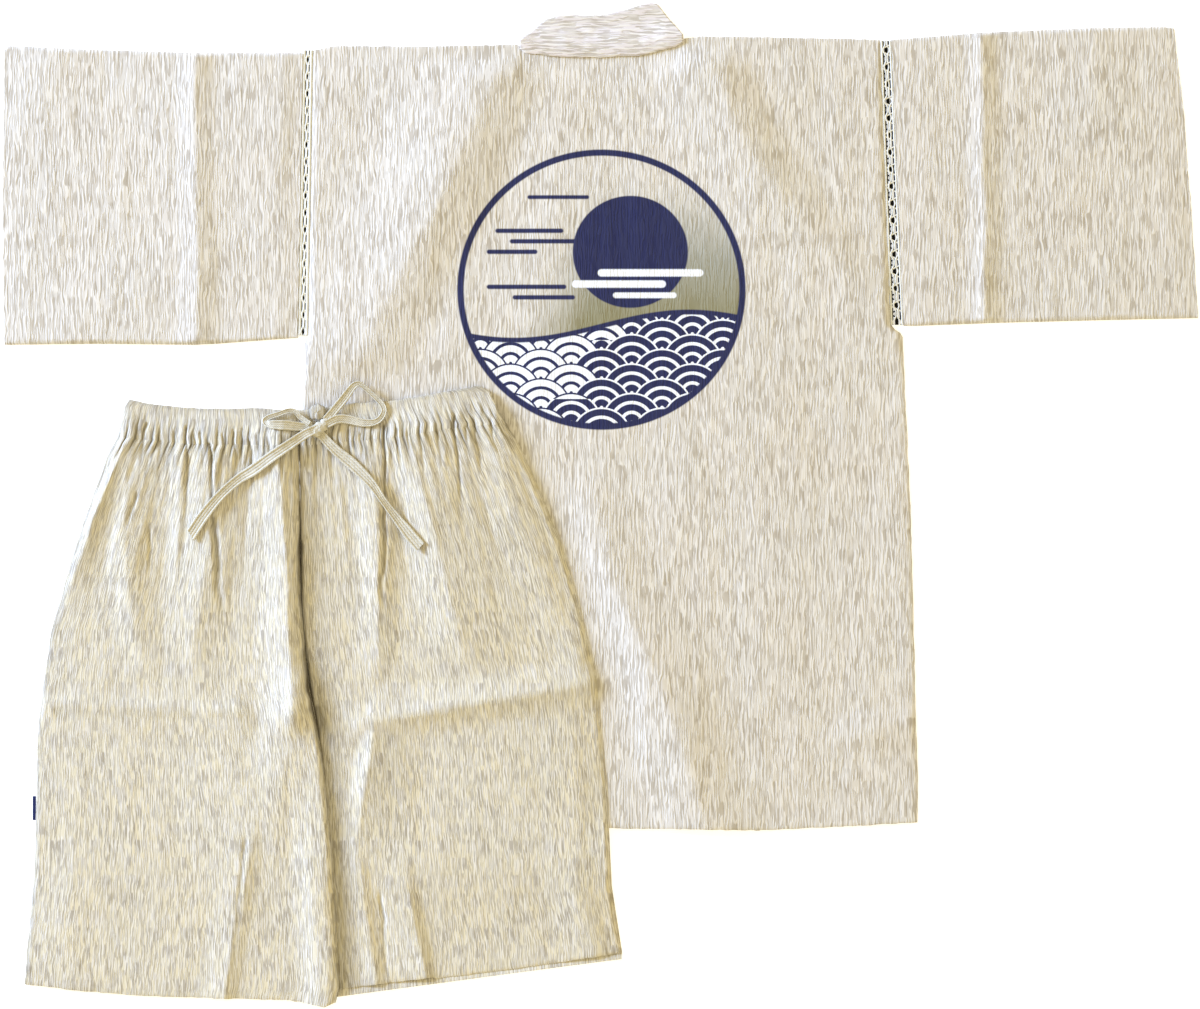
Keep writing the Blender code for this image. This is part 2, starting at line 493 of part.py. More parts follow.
def add_sleeve(name, panel, folds, sections, kit):
    """A flattened tube open at the armhole and at the cuff, lofted through its sections."""
    middle = 300.0
    rings = []
    for share in sections:
        at_top = read(panel.left, 450.0) * (1 - share) + read(panel.right, 450.0) * share
        low, high = read(panel.bottom, at_top), read(panel.top, at_top)

        def place_x(y, share=share):
            return read(panel.left, y) * (1 - share) + read(panel.right, y) * share

        def top_height(y, high=high, low=low):
            x = place_x(y)
            ease = soft_step((high - y) / SEAM_FADE) * soft_step((y - low) / SEAM_FADE)
            return float(folds_height(folds, np.array(x), np.array(y)) * (0.25 + 0.75 * ease))

        ring = sleeve_ring(low, high, top_height, 10)
        rings.append([(float(place_x(y)), y, z) for y, z in ring])
    points = np.array(rings)
    mesh = bpy.data.meshes.new(name)
    mesh.from_pydata((points.reshape(-1, 3) * MM).tolist(), [], grid_faces(*points.shape[:2], ring=True))
    tube = place_object(name, mesh, kit.materials[kit.pick[name]], kit.collection, kit.parent)
    work = bmesh.new()
    work.from_mesh(mesh)
    bmesh.ops.recalc_face_normals(work, faces=work.faces)
    upward = sum(face.normal.z * face.calc_area() for face in work.faces
                 if face.calc_center_median().z > SLEEVE_FOLD * MM)
    if upward < 0:
        bmesh.ops.reverse_faces(work, faces=work.faces)
    work.to_mesh(mesh)
    work.free()
    thick = tube.modifiers.new("wall", "SOLIDIFY")
    thick.thickness = WALL * MM
    thick.offset = -1.0
    return tube


def add_lace(name, left_edge, right_edge, top, bottom, upper, kit):
    """A flat strip of openwork between two edges: slots in pairs, with diamonds in the upper layer."""
    places, sides = [], []

    def outline(corners):
        first = len(places)
        places.extend(Vector((float(x), float(y))) for x, y in corners)
        sides.extend((first + k, first + (k + 1) % len(corners)) for k in range(len(corners)))

    def place(down, aside):
        y = top - down
        return (read(left_edge, y) + read(right_edge, y)) / 2 + aside, y

    outline([(read(left_edge, top), top), (read(left_edge, bottom), bottom),
             (read(right_edge, bottom), bottom), (read(right_edge, top), top)])
    start, end = LACE_SLOT
    near, far = UPPER_SLOT_SIDES if upper else LOWER_SLOT_SIDES
    offset = 0.0 if upper else LOWER_OFFSET
    lift = LAYER + SEAM_GAP if upper else 0.0
    middle, half_long, half_wide = LACE_DIAMOND
    for repeat in range(int((top - bottom - offset) / LACE_PITCH)):
        at = repeat * LACE_PITCH + offset
        for side in (-1, 1):
            outline([place(at + start, side * near), place(at + end, side * near),
                     place(at + end, side * far), place(at + start, side * far)])
        if upper:
            outline([place(at + middle - half_long, 0), place(at + middle, -half_wide),
                     place(at + middle + half_long, 0), place(at + middle, half_wide)])
    filled = delaunay_2d_cdt(places, sides, [], CUT_AND_KEEP_HOLES, 1e-4)
    mesh = bpy.data.meshes.new(name)
    mesh.from_pydata([(p.x * MM, p.y * MM, lift * MM) for p in filled[0]], [], filled[2])
    strip = place_object(name, mesh, kit.materials[kit.pick[name]], kit.collection, kit.parent)
    thick = strip.modifiers.new("wall", "SOLIDIFY")
    thick.thickness = LACE_WALL * MM
    thick.offset = 1.0
    return strip


def add_sleeves_and_lace(kit):
    """Both sleeves, and the openwork strips that join them to the jacket, one for each layer."""
    add_sleeve("sleeve_left", SLEEVE_LEFT, SLEEVE_LEFT_FOLDS,
               (0, 0.1, 0.22, 0.34, 0.46, 0.55, 0.59, 0.65, 0.71, 0.75, 0.84, 0.92, 1), kit)
    add_sleeve("sleeve_right", SLEEVE_RIGHT, SLEEVE_RIGHT_FOLDS,
               (0, 0.1, 0.2, 0.26, 0.32, 0.38, 0.45, 0.55, 0.65, 0.75, 0.84, 0.92, 1), kit)
    sides = (("left", shifted(SLEEVE_LEFT.right, SEAM_GAP), shifted(JACKET.left, -SEAM_GAP), 454.0, 169.0),
             ("right", shifted(JACKET.right, SEAM_GAP), shifted(SLEEVE_RIGHT.left, -SEAM_GAP), 463.5, 179.5))
    for side, left_edge, right_edge, top, bottom in sides:
        add_lace(f"lace_{side}_back", left_edge, right_edge, top, bottom, True, kit)
        add_lace(f"lace_{side}_front", left_edge, right_edge, top, bottom, False, kit)


def add_waistband(kit):
    """The casing: gathered in front, plain behind."""
    upper = WAISTBAND._replace(bottom=shifted(CASING_SEAM, SEAM_GAP))
    columns, _ = casing_profile()
    x, y = lay_out(upper, columns, CASING_CALM[0])
    closed_wall("waistband_front", np.stack([x, y, casing_under(x, y)], axis=-1), GATHER_WALL, kit)
    x, y = lay_out(upper, np.linspace(0, 1, 22), (0.0, 1.0))
    cloth_layer("waistband_back", x, y, carried(x, y), WALL, kit)


def add_leg(leg, kit):
    """A leg's front with its gathers and folds, and its plain back under it."""
    columns, _, _ = gather_profile(leg.gathers)
    rows = []
    for up in LEG_ROWS:
        x, y = lay_out(leg.front, columns if up >= GATHERED_FROM else columns[::2], [up])
        rows.append(np.stack([x[0], y[0], leg_under(leg, x, y)[0]], axis=-1))
    closed_wall(f"leg_front_{leg.side}", rows, GATHER_WALL, kit)
    halfway = len(columns) // 8 * 4
    x, y = lay_out(leg.back, np.concatenate([columns[:halfway:4], columns[halfway::2]]), LEG_ROWS)
    cloth_layer(f"leg_back_{leg.side}", x, y, carried(x, y) + leg.lift(x, y), WALL, kit)


def add_shorts(kit):
    """The two legs, the left one lapping over the right one, under their gathered casing."""
    add_waistband(kit)
    add_leg(LEFT, kit)
    add_leg(RIGHT, kit)

    edge = float(read(OUTER_LEFT, (TAB["top"] + TAB["bottom"]) / 2)) - SEAM_GAP
    bpy.ops.mesh.primitive_cube_add(size=1.0)
    block = bpy.context.active_object
    mesh = block.data
    size = (TAB["reach"], TAB["top"] - TAB["bottom"], TAB["high"] - TAB["low"])
    middle = (edge - TAB["reach"] / 2, (TAB["top"] + TAB["bottom"]) / 2, (TAB["high"] + TAB["low"]) / 2)
    for vertex in mesh.vertices:
        vertex.co = [(c * s + m) * MM for c, s, m in zip(vertex.co, size, middle)]
    bpy.data.objects.remove(block)
    mesh.name = "side_tab"
    place_object("side_tab", mesh, kit.materials["navy_tab"], kit.collection, kit.parent)


# ---- drawstring ---------------------------------------------------------------------------------
def smooth_route(stops, steps):
    """A smooth curve through the stops (Catmull-Rom), with a set number of places a stretch."""
    table = np.array(stops, float)
    padded = np.vstack([2 * table[0] - table[1], table, 2 * table[-1] - table[-2]])
    t = np.linspace(0, 1, steps, endpoint=False)[:, None]
    pieces = []
    for a, b, c, d in zip(padded, padded[1:], padded[2:], padded[3:]):
        pieces.append(0.5 * (2 * b + (c - a) * t + (2 * a - 5 * b + 4 * c - d) * t ** 2
                             + (3 * b - a - 3 * c + d) * t ** 3))
    return np.vstack(pieces + [table[-1:]])


def bed_height(x, y, reach=4.5):
    """Level on which a tape lies: the highest of the front near each place."""
    near = np.linspace(-reach, reach, 5)
    return np.max([front_top(x + dx, y + dy) for dx in near for dy in near], axis=0)


def add_tape(name, stops, kit):
    """A flat tape: rings of eight points carried along its route, closed at both ends."""
    route = smooth_route(stops, 2)
    x, y, width, lift = route.T
    bed = bed_height(x, y)
    for _ in range(2):
        wide = np.concatenate([bed[:1], bed, bed[-1:]])
        bed = np.maximum(bed, (wide[:-2] + wide[2:]) / 2)
    z = bed + lift + TAPE_CLEARANCE + TAPE_THICKNESS / 2
    ahead = np.gradient(np.stack([x, y], axis=-1), axis=0)
    ahead /= np.linalg.norm(ahead, axis=1)[:, None]
    turn = (np.arange(8) + 0.5) * math.pi / 4
    aside = np.cos(turn)[None, :] * width[:, None] / 2 / math.cos(math.pi / 8)
    height = np.sin(turn)[None, :] * TAPE_THICKNESS / 2 / math.sin(3 * math.pi / 8)
    points = np.stack([x[:, None] + aside * ahead[:, 1:2], y[:, None] - aside * ahead[:, 0:1],
                       z[:, None] + np.broadcast_to(height, aside.shape)], axis=-1)
    rings, around = points.shape[:2]
    faces = grid_faces(rings, around, ring=True)
    faces += [tuple(range(around))[::-1], tuple(range((rings - 1) * around, rings * around))]
    mesh = bpy.data.meshes.new(name)
    mesh.from_pydata((points.reshape(-1, 3) * MM).tolist(), [], faces)
    work = bmesh.new()
    work.from_mesh(mesh)
    bmesh.ops.recalc_face_normals(work, faces=work.faces)
    work.to_mesh(mesh)
    work.free()
    return place_object(name, mesh, kit.materials[kit.pick[name]], kit.collection, kit.parent)


def add_drawstring(kit):
    """The bow: a knot, two loops and two free tails."""
    for name, stops in (("drawstring_tail_left", TAIL_LEFT), ("drawstring_tail_right", TAIL_RIGHT),
                        ("drawstring_loop_right", LOOP_RIGHT), ("drawstring_loop_left", LOOP_LEFT)):
        add_tape(name, stops, kit)
    bpy.ops.mesh.primitive_uv_sphere_add(segments=14, ring_count=8, radius=1.0)
    ball = bpy.context.active_object
    mesh = ball.data
    x, y = KNOT_PLACE
    z = float(bed_height(np.array([x]), np.array([y]), KNOT_SEAT)[0]) + SEAM_GAP + KNOT_RADII[2]
    for vertex in mesh.vertices:
        vertex.co = [(c * r + m) * MM for c, r, m in zip(vertex.co, KNOT_RADII, (x, y, z))]
    bpy.data.objects.remove(ball)
    mesh.name = "drawstring_knot"
    place_object("drawstring_knot", mesh, kit.materials["tape_cotton"], kit.collection, kit.parent)


Kit = namedtuple("Kit", "collection parent materials pick")


def main():
    for thing in list(bpy.data.objects):
        bpy.data.objects.remove(thing)
    collection = bpy.data.collections.new("jinbei_set")
    bpy.context.scene.collection.children.link(collection)
    parent = bpy.data.objects.new("jinbei_set_root", None)
    collection.objects.link(parent)
    pick = {name: "crinkled_cotton" for name in (
        "back_body", "front_left", "front_right", "sleeve_left", "sleeve_right", "waistband_front",
        "waistband_back", "leg_front_left", "leg_front_right", "leg_back_left", "leg_back_right")}
    pick.update({f"collar_{part}": "collar_cotton" for part in ("back", "run_left", "run_right")})
    pick.update({f"lace_{side}_{layer}": "lace_cotton" for side in ("left", "right")
                 for layer in ("back", "front")})
    pick.update({f"drawstring_{part}": "tape_cotton" for part in (
        "tail_left", "tail_right", "loop_left", "loop_right")})
    kit = Kit(collection, parent, {name: make_material(name) for name in PAINTS}, pick)
    add_jacket_body(kit)
    add_sleeves_and_lace(kit)
    add_shorts(kit)
    add_drawstring(kit)


main()
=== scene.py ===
"""Jinbei set laid flat: the looks of the short jacket, its drawstring shorts, and the stage.

Tables are in millimetres, as a maker would write them; meshes are in metres, +Z up, and the origin
is on the surface under the middle of the set. +Y is towards the jacket's collar.
"""
import math
from collections import namedtuple

import bmesh
import bpy
import numpy as np
from bpy.props import FloatProperty, FloatVectorProperty, PointerProperty
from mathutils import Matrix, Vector


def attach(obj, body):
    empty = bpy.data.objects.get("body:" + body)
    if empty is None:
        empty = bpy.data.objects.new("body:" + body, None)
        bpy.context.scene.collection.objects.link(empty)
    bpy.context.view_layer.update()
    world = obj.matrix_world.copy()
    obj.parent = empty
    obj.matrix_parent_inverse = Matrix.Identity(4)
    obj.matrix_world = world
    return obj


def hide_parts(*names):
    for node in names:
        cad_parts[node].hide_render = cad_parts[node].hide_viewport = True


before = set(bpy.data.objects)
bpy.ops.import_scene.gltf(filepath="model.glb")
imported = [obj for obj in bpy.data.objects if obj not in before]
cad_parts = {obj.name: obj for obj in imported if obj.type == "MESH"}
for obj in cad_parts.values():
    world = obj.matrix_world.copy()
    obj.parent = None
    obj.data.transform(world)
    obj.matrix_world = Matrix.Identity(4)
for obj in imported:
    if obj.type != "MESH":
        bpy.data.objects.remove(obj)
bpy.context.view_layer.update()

bl_info = {
    "name": "Jinbei set",
    "version": (1, 0, 0),
    "blender": (4, 5, 0),
    "location": "3D View > Sidebar > Jinbei",
    "description": "A short kimono-cut jacket with openwork shoulders, and its drawstring shorts",
    "category": "Object",
}

MM = 0.001
BODY = "root"

# ---- sizes shared with the solids ---------------------------------------------------------------
WALL = 1.2              # one layer of cloth
SEAM_GAP = 0.3          # left open between two pieces
LAYER = WALL + SEAM_GAP
BAND_WALL = 1.6         # the collar band, which is doubled
GATHER_WALL = 1.4       # gathered cloth
LACE_WALL = 1.0

FRONT_LAP = 150.0       # half the width over which the two fronts lap
LAP_RAMP = 90.0         # the back comes down from the lap over this run
DRAPE_MARGIN = 26.0     # the shorts stay up this far past the jacket's edge
DRAPE_RAMP = 90.0       # and come down to the surface over this run
SHOULDER_FADE = 32.0    # the back's folds begin over this run below the shoulder

SLEEVE_FOLD = 1.5       # radius of a sleeve's folded edge
SLEEVE_LENGTH = 295.0
SLEEVE_LOW = 160.0      # height of the sleeves' lower edge
SLEEVE_ENDS = 12        # the crinkle begins over this part of the length, at both ends
SLEEVE_RINGS = 112      # rings along a sleeve, and places on a ring: below, above and at each fold
SLEEVE_LOWER, SLEEVE_UPPER, FOLD_STEPS = 60, 150, 7
COLLAR_LAP = 2.5        # the collar band lies on the back by this much
COLLAR_HOLD = 2.0       # it stays level this far past the back's edge
COLLAR_FALL = 30.0      # and comes down to the surface over this run
COLLAR_RUN_WIDTH = 42.0
FRONT_INSET = 1.0       # the fronts end this far inside the back's edges

LACE_PITCH = 17.0       # one repeat of the openwork
LACE_BARS = ((0.36, 1.0), (0.76, -1.0))   # where a repeat's two bars are, and how they slope
LACE_BAND, LACE_BAND_TIGHT = 2.0, 2.9     # width of the bands, and of those of the narrow strip
LACE_SQUEEZE = 0.55     # the narrow strip's cords stand apart by this share
CORDS_TOGETHER, CORDS_APART = 0.8, 2.1
LOWER_BAND_MORE = 1.2
THREAD_STEP = 0.85

LEFT_GATHERS = 22
RIGHT_GATHERS = 26
LEG_LIFT = 3.8          # the left leg's inner edge lies this much higher, on the right leg
LEG_LAP_RUN = 26.0
LEG_LAP_START = 4.0     # the climb ends this far inside the right leg's edge
SEAM_GROOVE = 7.0       # half width of the groove where the legs join
RIDGE_RUN = 14.0        # the middle seam's ridge ends this far onto the right leg, below the crotch
RIDGE_FADE = 60.0       # and begins to this far above it
CROTCH = -140.0
CROTCH_RUN = 45.0

TAPE_THICKNESS = 2.2
TAPE_CLEARANCE = 0.4
KNOT_PLACE = (-282.5, 80.5)

TAB = dict(top=-291.5, bottom=-315.5, reach=3.2, low=0.7, high=1.9)

# ---- sizes of what is finer than the solids -----------------------------------------------------
CLEAR_MARGIN = 5.0      # the jacket stays level this far past the shorts that press on it
CLEAR_FADE = 46.0       # and its own folds begin over this run
HEM_DEPTH = 17.0        # turned-up hem,
HEM_RISE = 0.3          # how much it adds to the thickness
HEM_STEP = 2.5          # and over which run
EDGE_ROLL = 0.5         # how far the cloth rolls down at its very edge
ROLL_RUN = 1.6          # and over which run
SEAM_FADE = 4.0         # folds and crinkle come down to a side seam over this run
HEM_FADE = 30.0         # the crinkle calms over this run above a hem
SLOW_FADE = 30.0        # and its slow hills over this one where the shorts' side lies on the jacket
PAST_JACKET = -345.0    # the shorts' right side lies on the jacket above this height
JACKET_FADE = 40.0      # what changes there does so over this run
FREE_SIDE_TOP = 170.0   # the jacket's right side seam is free below this height
FREE_SIDE_RUN = 20.0
FREE_HOLD = 0.7         # share of folds and crinkle that a free side keeps at its very edge
SEAM_JOIN = 40.0        # the shorts' layers come together over this run where they lie on the jacket
SEAM_SINK = 0.75        # each loses this much height there
SEAM_THIN = 0.85        # and the front this much of its thickness
STRIP_RISE = 1.9        # a back hem turned up where it shows below the front
STRIP_STEP = 3.0        # over this run
RUFFLE = 0.5            # the crinkle pulls edges in and out by this much
BEND = 2.2              # uneven hills move a fold's crest aside by this much
CREASE_BEND = 1.6       # and a crease's line by this much
CREASE_SIDES = 1.6      # a crease's trough is this many times as wide as its dark line
CREASE_START = 5.0      # and it begins over this run

# ---- gathers: how broad their crests are, how they calm up the casing, how far they run down -----
CREST_POWER = 0.34      # a sine raised to this power: the lower, the broader its crest
CASING_CALM = ((0.0, 0.45, 0.75, 1.0), (1.0, 0.75, 0.3, 0.25))
GATHER_REACH = 34.0     # how far down they run, and by how much that varies
GATHER_SPREAD = (14.0, 10.0)
LEG_SHARE = 0.9         # share of that reach on the legs
FINE_RUN = 70.0         # the finest crinkle ends this far below the casing
DRAWN_RUN = 210.0       # and the fullness that the casing draws in ends here
GATHER_SWAY = 0.0020    # a gather wanders by this share of the casing's width

# ---- painted shade: how dark a place is painted, from 0 in the open to 1 deep in a crease -------
VALLEY_PAINTED_SHADE = 0.95      # in a gather's valley
CASING_DARKENED = 0.02      # the casing is also darkened a little all over,
DARKENED_LEFT = 0.06        # more over its left part
RIM_PAINTED_SHADE = 0.16         # and along its upper edge
PUCKER_PAINTED_SHADE = 0.22      # on the pucker above the knot
SIDE_PAINTED_SHADE = 0.2         # along the shorts' left side seam
NOTCH = -185.0          # the painted shade line of the middle seam is widest at this height
NOTCH_RUN = 60.0        # and narrows over this run above and below
LINE_TOP = 44.0         # that painted shade line begins below this height
LINE_HALF = 2.8         # its half width, which uneven hills change

# ---- cut of the gathered cloth, times the width that it covers, and its width on the flat -------
CASING_FULL = 1.35
CASING_BACK_FULL = 1.2
LEG_FULL = 1.15
CASING_SPAN = 385.0     # width of the casing and of a leg's panel, as the weave runs on them
LEG_SPAN = 296.0
DRAWN_SPAN = 300.0      # and as the drawn-in fullness and the crinkle run on a leg
CRINKLE_SPAN = 280.0

LEAST_AREA = 0.301      # a sheet's cut area is at least this share of its width times its length

# ---- stage, in metres ---------------------------------------------------------------------------
KEY_PLACE = (-5.575, 2.20, 1.50)
KEY_SIZE = 2.1
WARM_PLACE = (3.6, -1.5, 2.5)
WARM_ANGLE = 50.0       # how wide the warm light is, in degrees
CAMERA_ASIDE = -0.0005
FLOOR_HALF = 3.0
FLOOR_HEIGHT = -0.0004

# ---- hills of the crinkle: height, width across the grain and length along it -------------------
Hills = namedtuple("Hills", "height wide tall")

CRINKLE = [Hills(0.34, 9.0, 46.0), Hills(0.22, 4.6, 20.0)]
SLOW_CRINKLE = [Hills(0.9, 46.0, 120.0), Hills(0.6, 22.0, 64.0)]
FINE_CRINKLE = [Hills(0.7, 3.1, 24.0)]
FRONT_CRINKLE = [Hills(0.1, 6.0, 26.0)]
COLLAR_CRINKLE = [Hills(0.9, 16.0, 7.0), Hills(0.5, 9.0, 24.0)]

# ---- edges: a side edge has its x at a few heights y, a level edge its y at a few places x ------
Side = namedtuple("Side", "y x")
Level = namedtuple("Level", "x y")
Panel = namedtuple("Panel", "left right top bottom")

JACKET = Panel(
    left=[Side(459.5, -287.0), Side(314.5, -289.5), Side(168.4, -292.0), Side(159.4, -296.0),
          Side(104.5, -297.5), Side(4.5, -300.5), Side(-95.5, -303.5), Side(-195.5, -307.5),
          Side(-275.5, -311.5), Side(-327.5, -314.5)],
    right=[Side(464.5, 279.5), Side(314.5, 284.5), Side(178.6, 289.8), Side(169.6, 302.0),
           Side(104.5, 304.5), Side(4.5, 309.5), Side(-95.5, 312.5), Side(-195.5, 314.5),
           Side(-275.5, 317.5), Side(-317.5, 316.5)],
    top=[Level(-287.0, 454.0), Level(-265.5, 458.5), Level(-180.5, 457.5), Level(-83.5, 459.5),
         Level(-75.5, 453.5), Level(-40.5, 449.5), Level(-0.5, 449.0), Level(39.5, 451.0),
         Level(74.5, 459.5), Level(84.5, 465.5), Level(99.5, 467.5), Level(199.5, 466.5),
         Level(279.5, 464.5)],
    bottom=[Level(-314.5, -327.5), Level(-150.5, -325.5), Level(9.5, -323.5), Level(99.5, -324.5),
            Level(159.5, -325.5), Level(249.5, -321.5), Level(316.5, -317.5)])

SLEEVE_LEFT = Panel(
    left=[Side(455.5, -595.5), Side(304.5, -597.5), Side(159.5, -595.5)],
    right=[Side(451.5, -297.5), Side(166.5, -302.5)],
    top=[Level(-595.5, 455.5), Level(-592.5, 458.5), Level(-500.5, 454.5), Level(-404.5, 451.5),
         Level(-297.5, 451.5)],
    bottom=[Level(-595.5, 159.5), Level(-500.5, 160.5), Level(-403.5, 159.5), Level(-380.5, 160.5),
            Level(-297.5, 166.5)])

SLEEVE_RIGHT = Panel(
    left=[Side(464.5, 290.5), Side(178.5, 303.0)],
    right=[Side(476.5, 572.5), Side(404.5, 581.5), Side(304.5, 589.5), Side(182.5, 597.5)],
    top=[Level(290.5, 464.5), Level(379.5, 471.5), Level(399.5, 472.5), Level(499.5, 476.5),
         Level(565.5, 477.5), Level(572.5, 476.5)],
    bottom=[Level(304.5, 178.5), Level(384.5, 181.5), Level(499.5, 184.5), Level(589.5, 186.5),
            Level(597.5, 182.5)])

COLLAR_TOP = [Level(-81.0, 463.5), Level(-55.5, 484.5), Level(-40.5, 489.5), Level(-0.5, 488.5),
              Level(24.5, 494.5), Level(49.5, 501.5), Level(56.5, 500.5), Level(64.5, 490.5),
              Level(83.0, 469.0)]
NECK_EDGE_LEFT = [Side(459.0, -80.0), Side(150.0, 48.0), Side(-324.0, 52.0)]
NECK_EDGE_RIGHT = [Side(465.0, 82.0), Side(150.0, -46.0), Side(-324.0, -50.0)]

WAIST_TOP = [Level(-470.5, 104.5), Level(-449.5, 100.5), Level(-411.5, 96.5), Level(-372.5, 95.5),
             Level(-347.5, 96.5), Level(-315.5, 94.0), Level(-295.5, 94.5), Level(-250.5, 100.5),
             Level(-200.5, 104.5), Level(-160.5, 111.5), Level(-121.5, 118.5)]
CASING_SEAM = [Level(-481.5, 67.5), Level(-411.5, 60.5), Level(-300.5, 58.5), Level(-200.5, 67.5),
               Level(-145.5, 76.5), Level(-93.7, 80.5)]
WAIST_CORNER = Side(112.5, -110.5)
WAISTBAND = Panel(
    left=[Side(104.5, -470.5), Side(97.5, -475.5), Side(67.5, -481.5)],
    right=[Side(118.5, -121.5), WAIST_CORNER, Side(93.5, -101.5), Side(80.5, -93.7)],
    top=WAIST_TOP, bottom=CASING_SEAM)

OUTER_LEFT = [Side(67.5, -481.5), Side(47.5, -492.5), Side(12.5, -505.5), Side(-15.5, -515.5),
              Side(-56.5, -528.5), Side(-125.5, -548.5), Side(-175.5, -556.5),
              Side(-229.5, -562.5), Side(-370.5, -565.5), Side(-435.5, -572.5),
              Side(-479.5, -575.5)]
OUTER_RIGHT = [Side(80.5, -93.7), Side(58.5, -80.5), Side(14.5, -60.5), Side(-35.5, -40.5),
               Side(-85.5, -25.5), Side(-145.5, -10.5), Side(-175.5, -3.5), Side(-209.5, -1.5),
               Side(-322.5, 8.5), Side(-382.5, 11.5), Side(-427.5, 18.5), Side(-446.5, 21.5)]
INNER_LEFT = [Side(58.5, -300.5), Side(34.5, -300.5), Side(-97.5, -298.5), Side(-180.5, -291.0),
              Side(-207.5, -285.0), Side(-255.5, -277.0), Side(-345.5, -268.5), Side(-425.5, -263.5),
              Side(-480.5, -260.5), Side(-500.5, -264.5)]
INNER_RIGHT = [Side(58.5, -300.2), Side(34.5, -300.2), Side(-97.5, -298.2), Side(-180.5, -290.5),
               Side(-215.0, -286.5), Side(-255.0, -284.5), Side(-345.5, -282.5),
               Side(-485.5, -274.5)]
HEM_LEFT = [Level(-575.5, -479.5), Level(-513.5, -486.5), Level(-450.5, -491.5),
            Level(-360.5, -494.0), Level(-310.5, -495.5), Level(-275.5, -501.5),
            Level(-262.5, -496.5)]
HEM_RIGHT = [Level(-274.5, -486.5), Level(-261.5, -484.5), Level(-169.5, -472.5),
             Level(-163.5, -473.5), Level(-80.5, -463.5), Level(16.5, -448.5)]
HEM_RIGHT_BACK = [Level(-274.5, -493.5), Level(-169.5, -479.5), Level(-80.5, -467.5),
                  Level(19.5, -454.5)]

# ---- folds: the crest runs through three places, with its height there and its two flanks; a
# ---- pressed crest is sharp (1) and a draped one round (0) --------------------------------------
Fold = namedtuple("Fold", "x0 y0 x1 y1 x2 y2 left right h0 h1 h2 sharp")

JACKET_FOLDS = [
    Fold(-95, 450, -156, 315, -238, 150, 90, 58, 4.4, 6.8, 4.8, 0.3),
    Fold(104, 452, 149, 352, 285, 180, 80, 42, 5.2, 5.6, 1.4, 0.35),
    Fold(-18, -20, 58, -175, 106, -322, 56, 64, 3.0, 6.2, 5.4, 0.5),
    Fold(228, -236, 262, -226, 306, -220, 24, 34, 0.4, 1.8, 1.6, 0.3)]
SLEEVE_LEFT_FOLDS = [
    Fold(-404, 470, -404, 305, -403, 150, 21, 23, 2.9, 2.7, 2.9, 1.0),
    Fold(-545, 470, -560, 400, -575, 330, 60, 60, 1.0, 0.8, 0.0, 0.0),
    Fold(-470, 250, -500, 210, -520, 150, 50, 60, 0.0, 1.4, 1.0, 0.0)]
SLEEVE_RIGHT_FOLDS = [
    Fold(380, 490, 382, 330, 384, 170, 19, 21, 3.2, 3.0, 3.2, 1.0),
    Fold(480, 485, 500, 400, 520, 330, 60, 50, 1.6, 1.4, 0.0, 0.0)]
SEAM_RIDGE = [
    Fold(-321, 62, -313, -50, -307, -205, 38, 26, 7.0, 8.6, 8.2, 0.5)]
LEG_LEFT_FOLDS = [
    Fold(-307, -205, -315, -255, -322, -322, 40, 32, 4.0, 4.8, 1.4, 0.4),
    Fold(-340, -300, -359, -390, -375, -496, 30, 15, 0.5, 2.4, 3.4, 0.8),
    Fold(-285, -235, -277, -345, -272, -498, 24, 16, 1.0, 1.6, 1.8, 0.4),
    Fold(-384, 50, -392, -50, -408, -178, 42, 38, 5.0, 6.2, 1.8, 0.5),
    Fold(-417, 44, -421, -30, -424, -110, 14, 12, 2.8, 2.6, 0.4, 0.3),
    Fold(-472, 35, -475, -60, -456, -160, 24, 34, 3.4, 4.8, 1.6, 0.4),
    Fold(-474, 59, -506, -15, -541, -125, 9, 26, 4.2, 4.8, 0.0, 0.4),
    Fold(-552, -199, -450, -202, -364, -206, 36, 15, 1.8, 2.8, 3.0, 0.9),
    Fold(-520, -330, -524, -400, -530, -470, 40, 35, 0.0, 1.6, 1.2, 0.0)]
LEG_RIGHT_FOLDS = [
    Fold(-228, 40, -223, -40, -222, -160, 27, 26, 3.6, 5.8, 2.2, 0.6),
    Fold(-186, 60, -172, 0, -142, -126, 36, 78, 4.4, 7.4, 4.6, 0.5),
    Fold(-106, 62, -86, -20, -50, -110, 30, 44, 2.6, 3.0, 0.8, 0.3),
    Fold(-30, -120, -22, -160, -12, -186, 24, 16, 0.8, 2.4, 1.8, 0.2),
    Fold(-238, -218, -146, -202, -14, -179, 32, 26, 5.4, 6.4, 3.6, 1.0),
    Fold(-226, -214, -232, -262, -241, -336, 18, 64, 4.8, 6.0, 1.8, 0.9),
    Fold(-240, -345, -234, -400, -223, -480, 16, 12, 1.6, 2.2, 2.6, 0.5),
    Fold(-200, -345, -187, -400, -172, -474, 34, 12, 0.6, 2.8, 3.8, 0.6),
    Fold(-32, -330, -20, -390, -6, -450, 46, 22, 0.5, 2.2, 2.2, 0.2)]

# ---- creases: thin troughs pressed into a leg from one place to another, and how dark a shade is painted along them
Crease = namedtuple("Crease", "x0 y0 x1 y1 half depth dark")

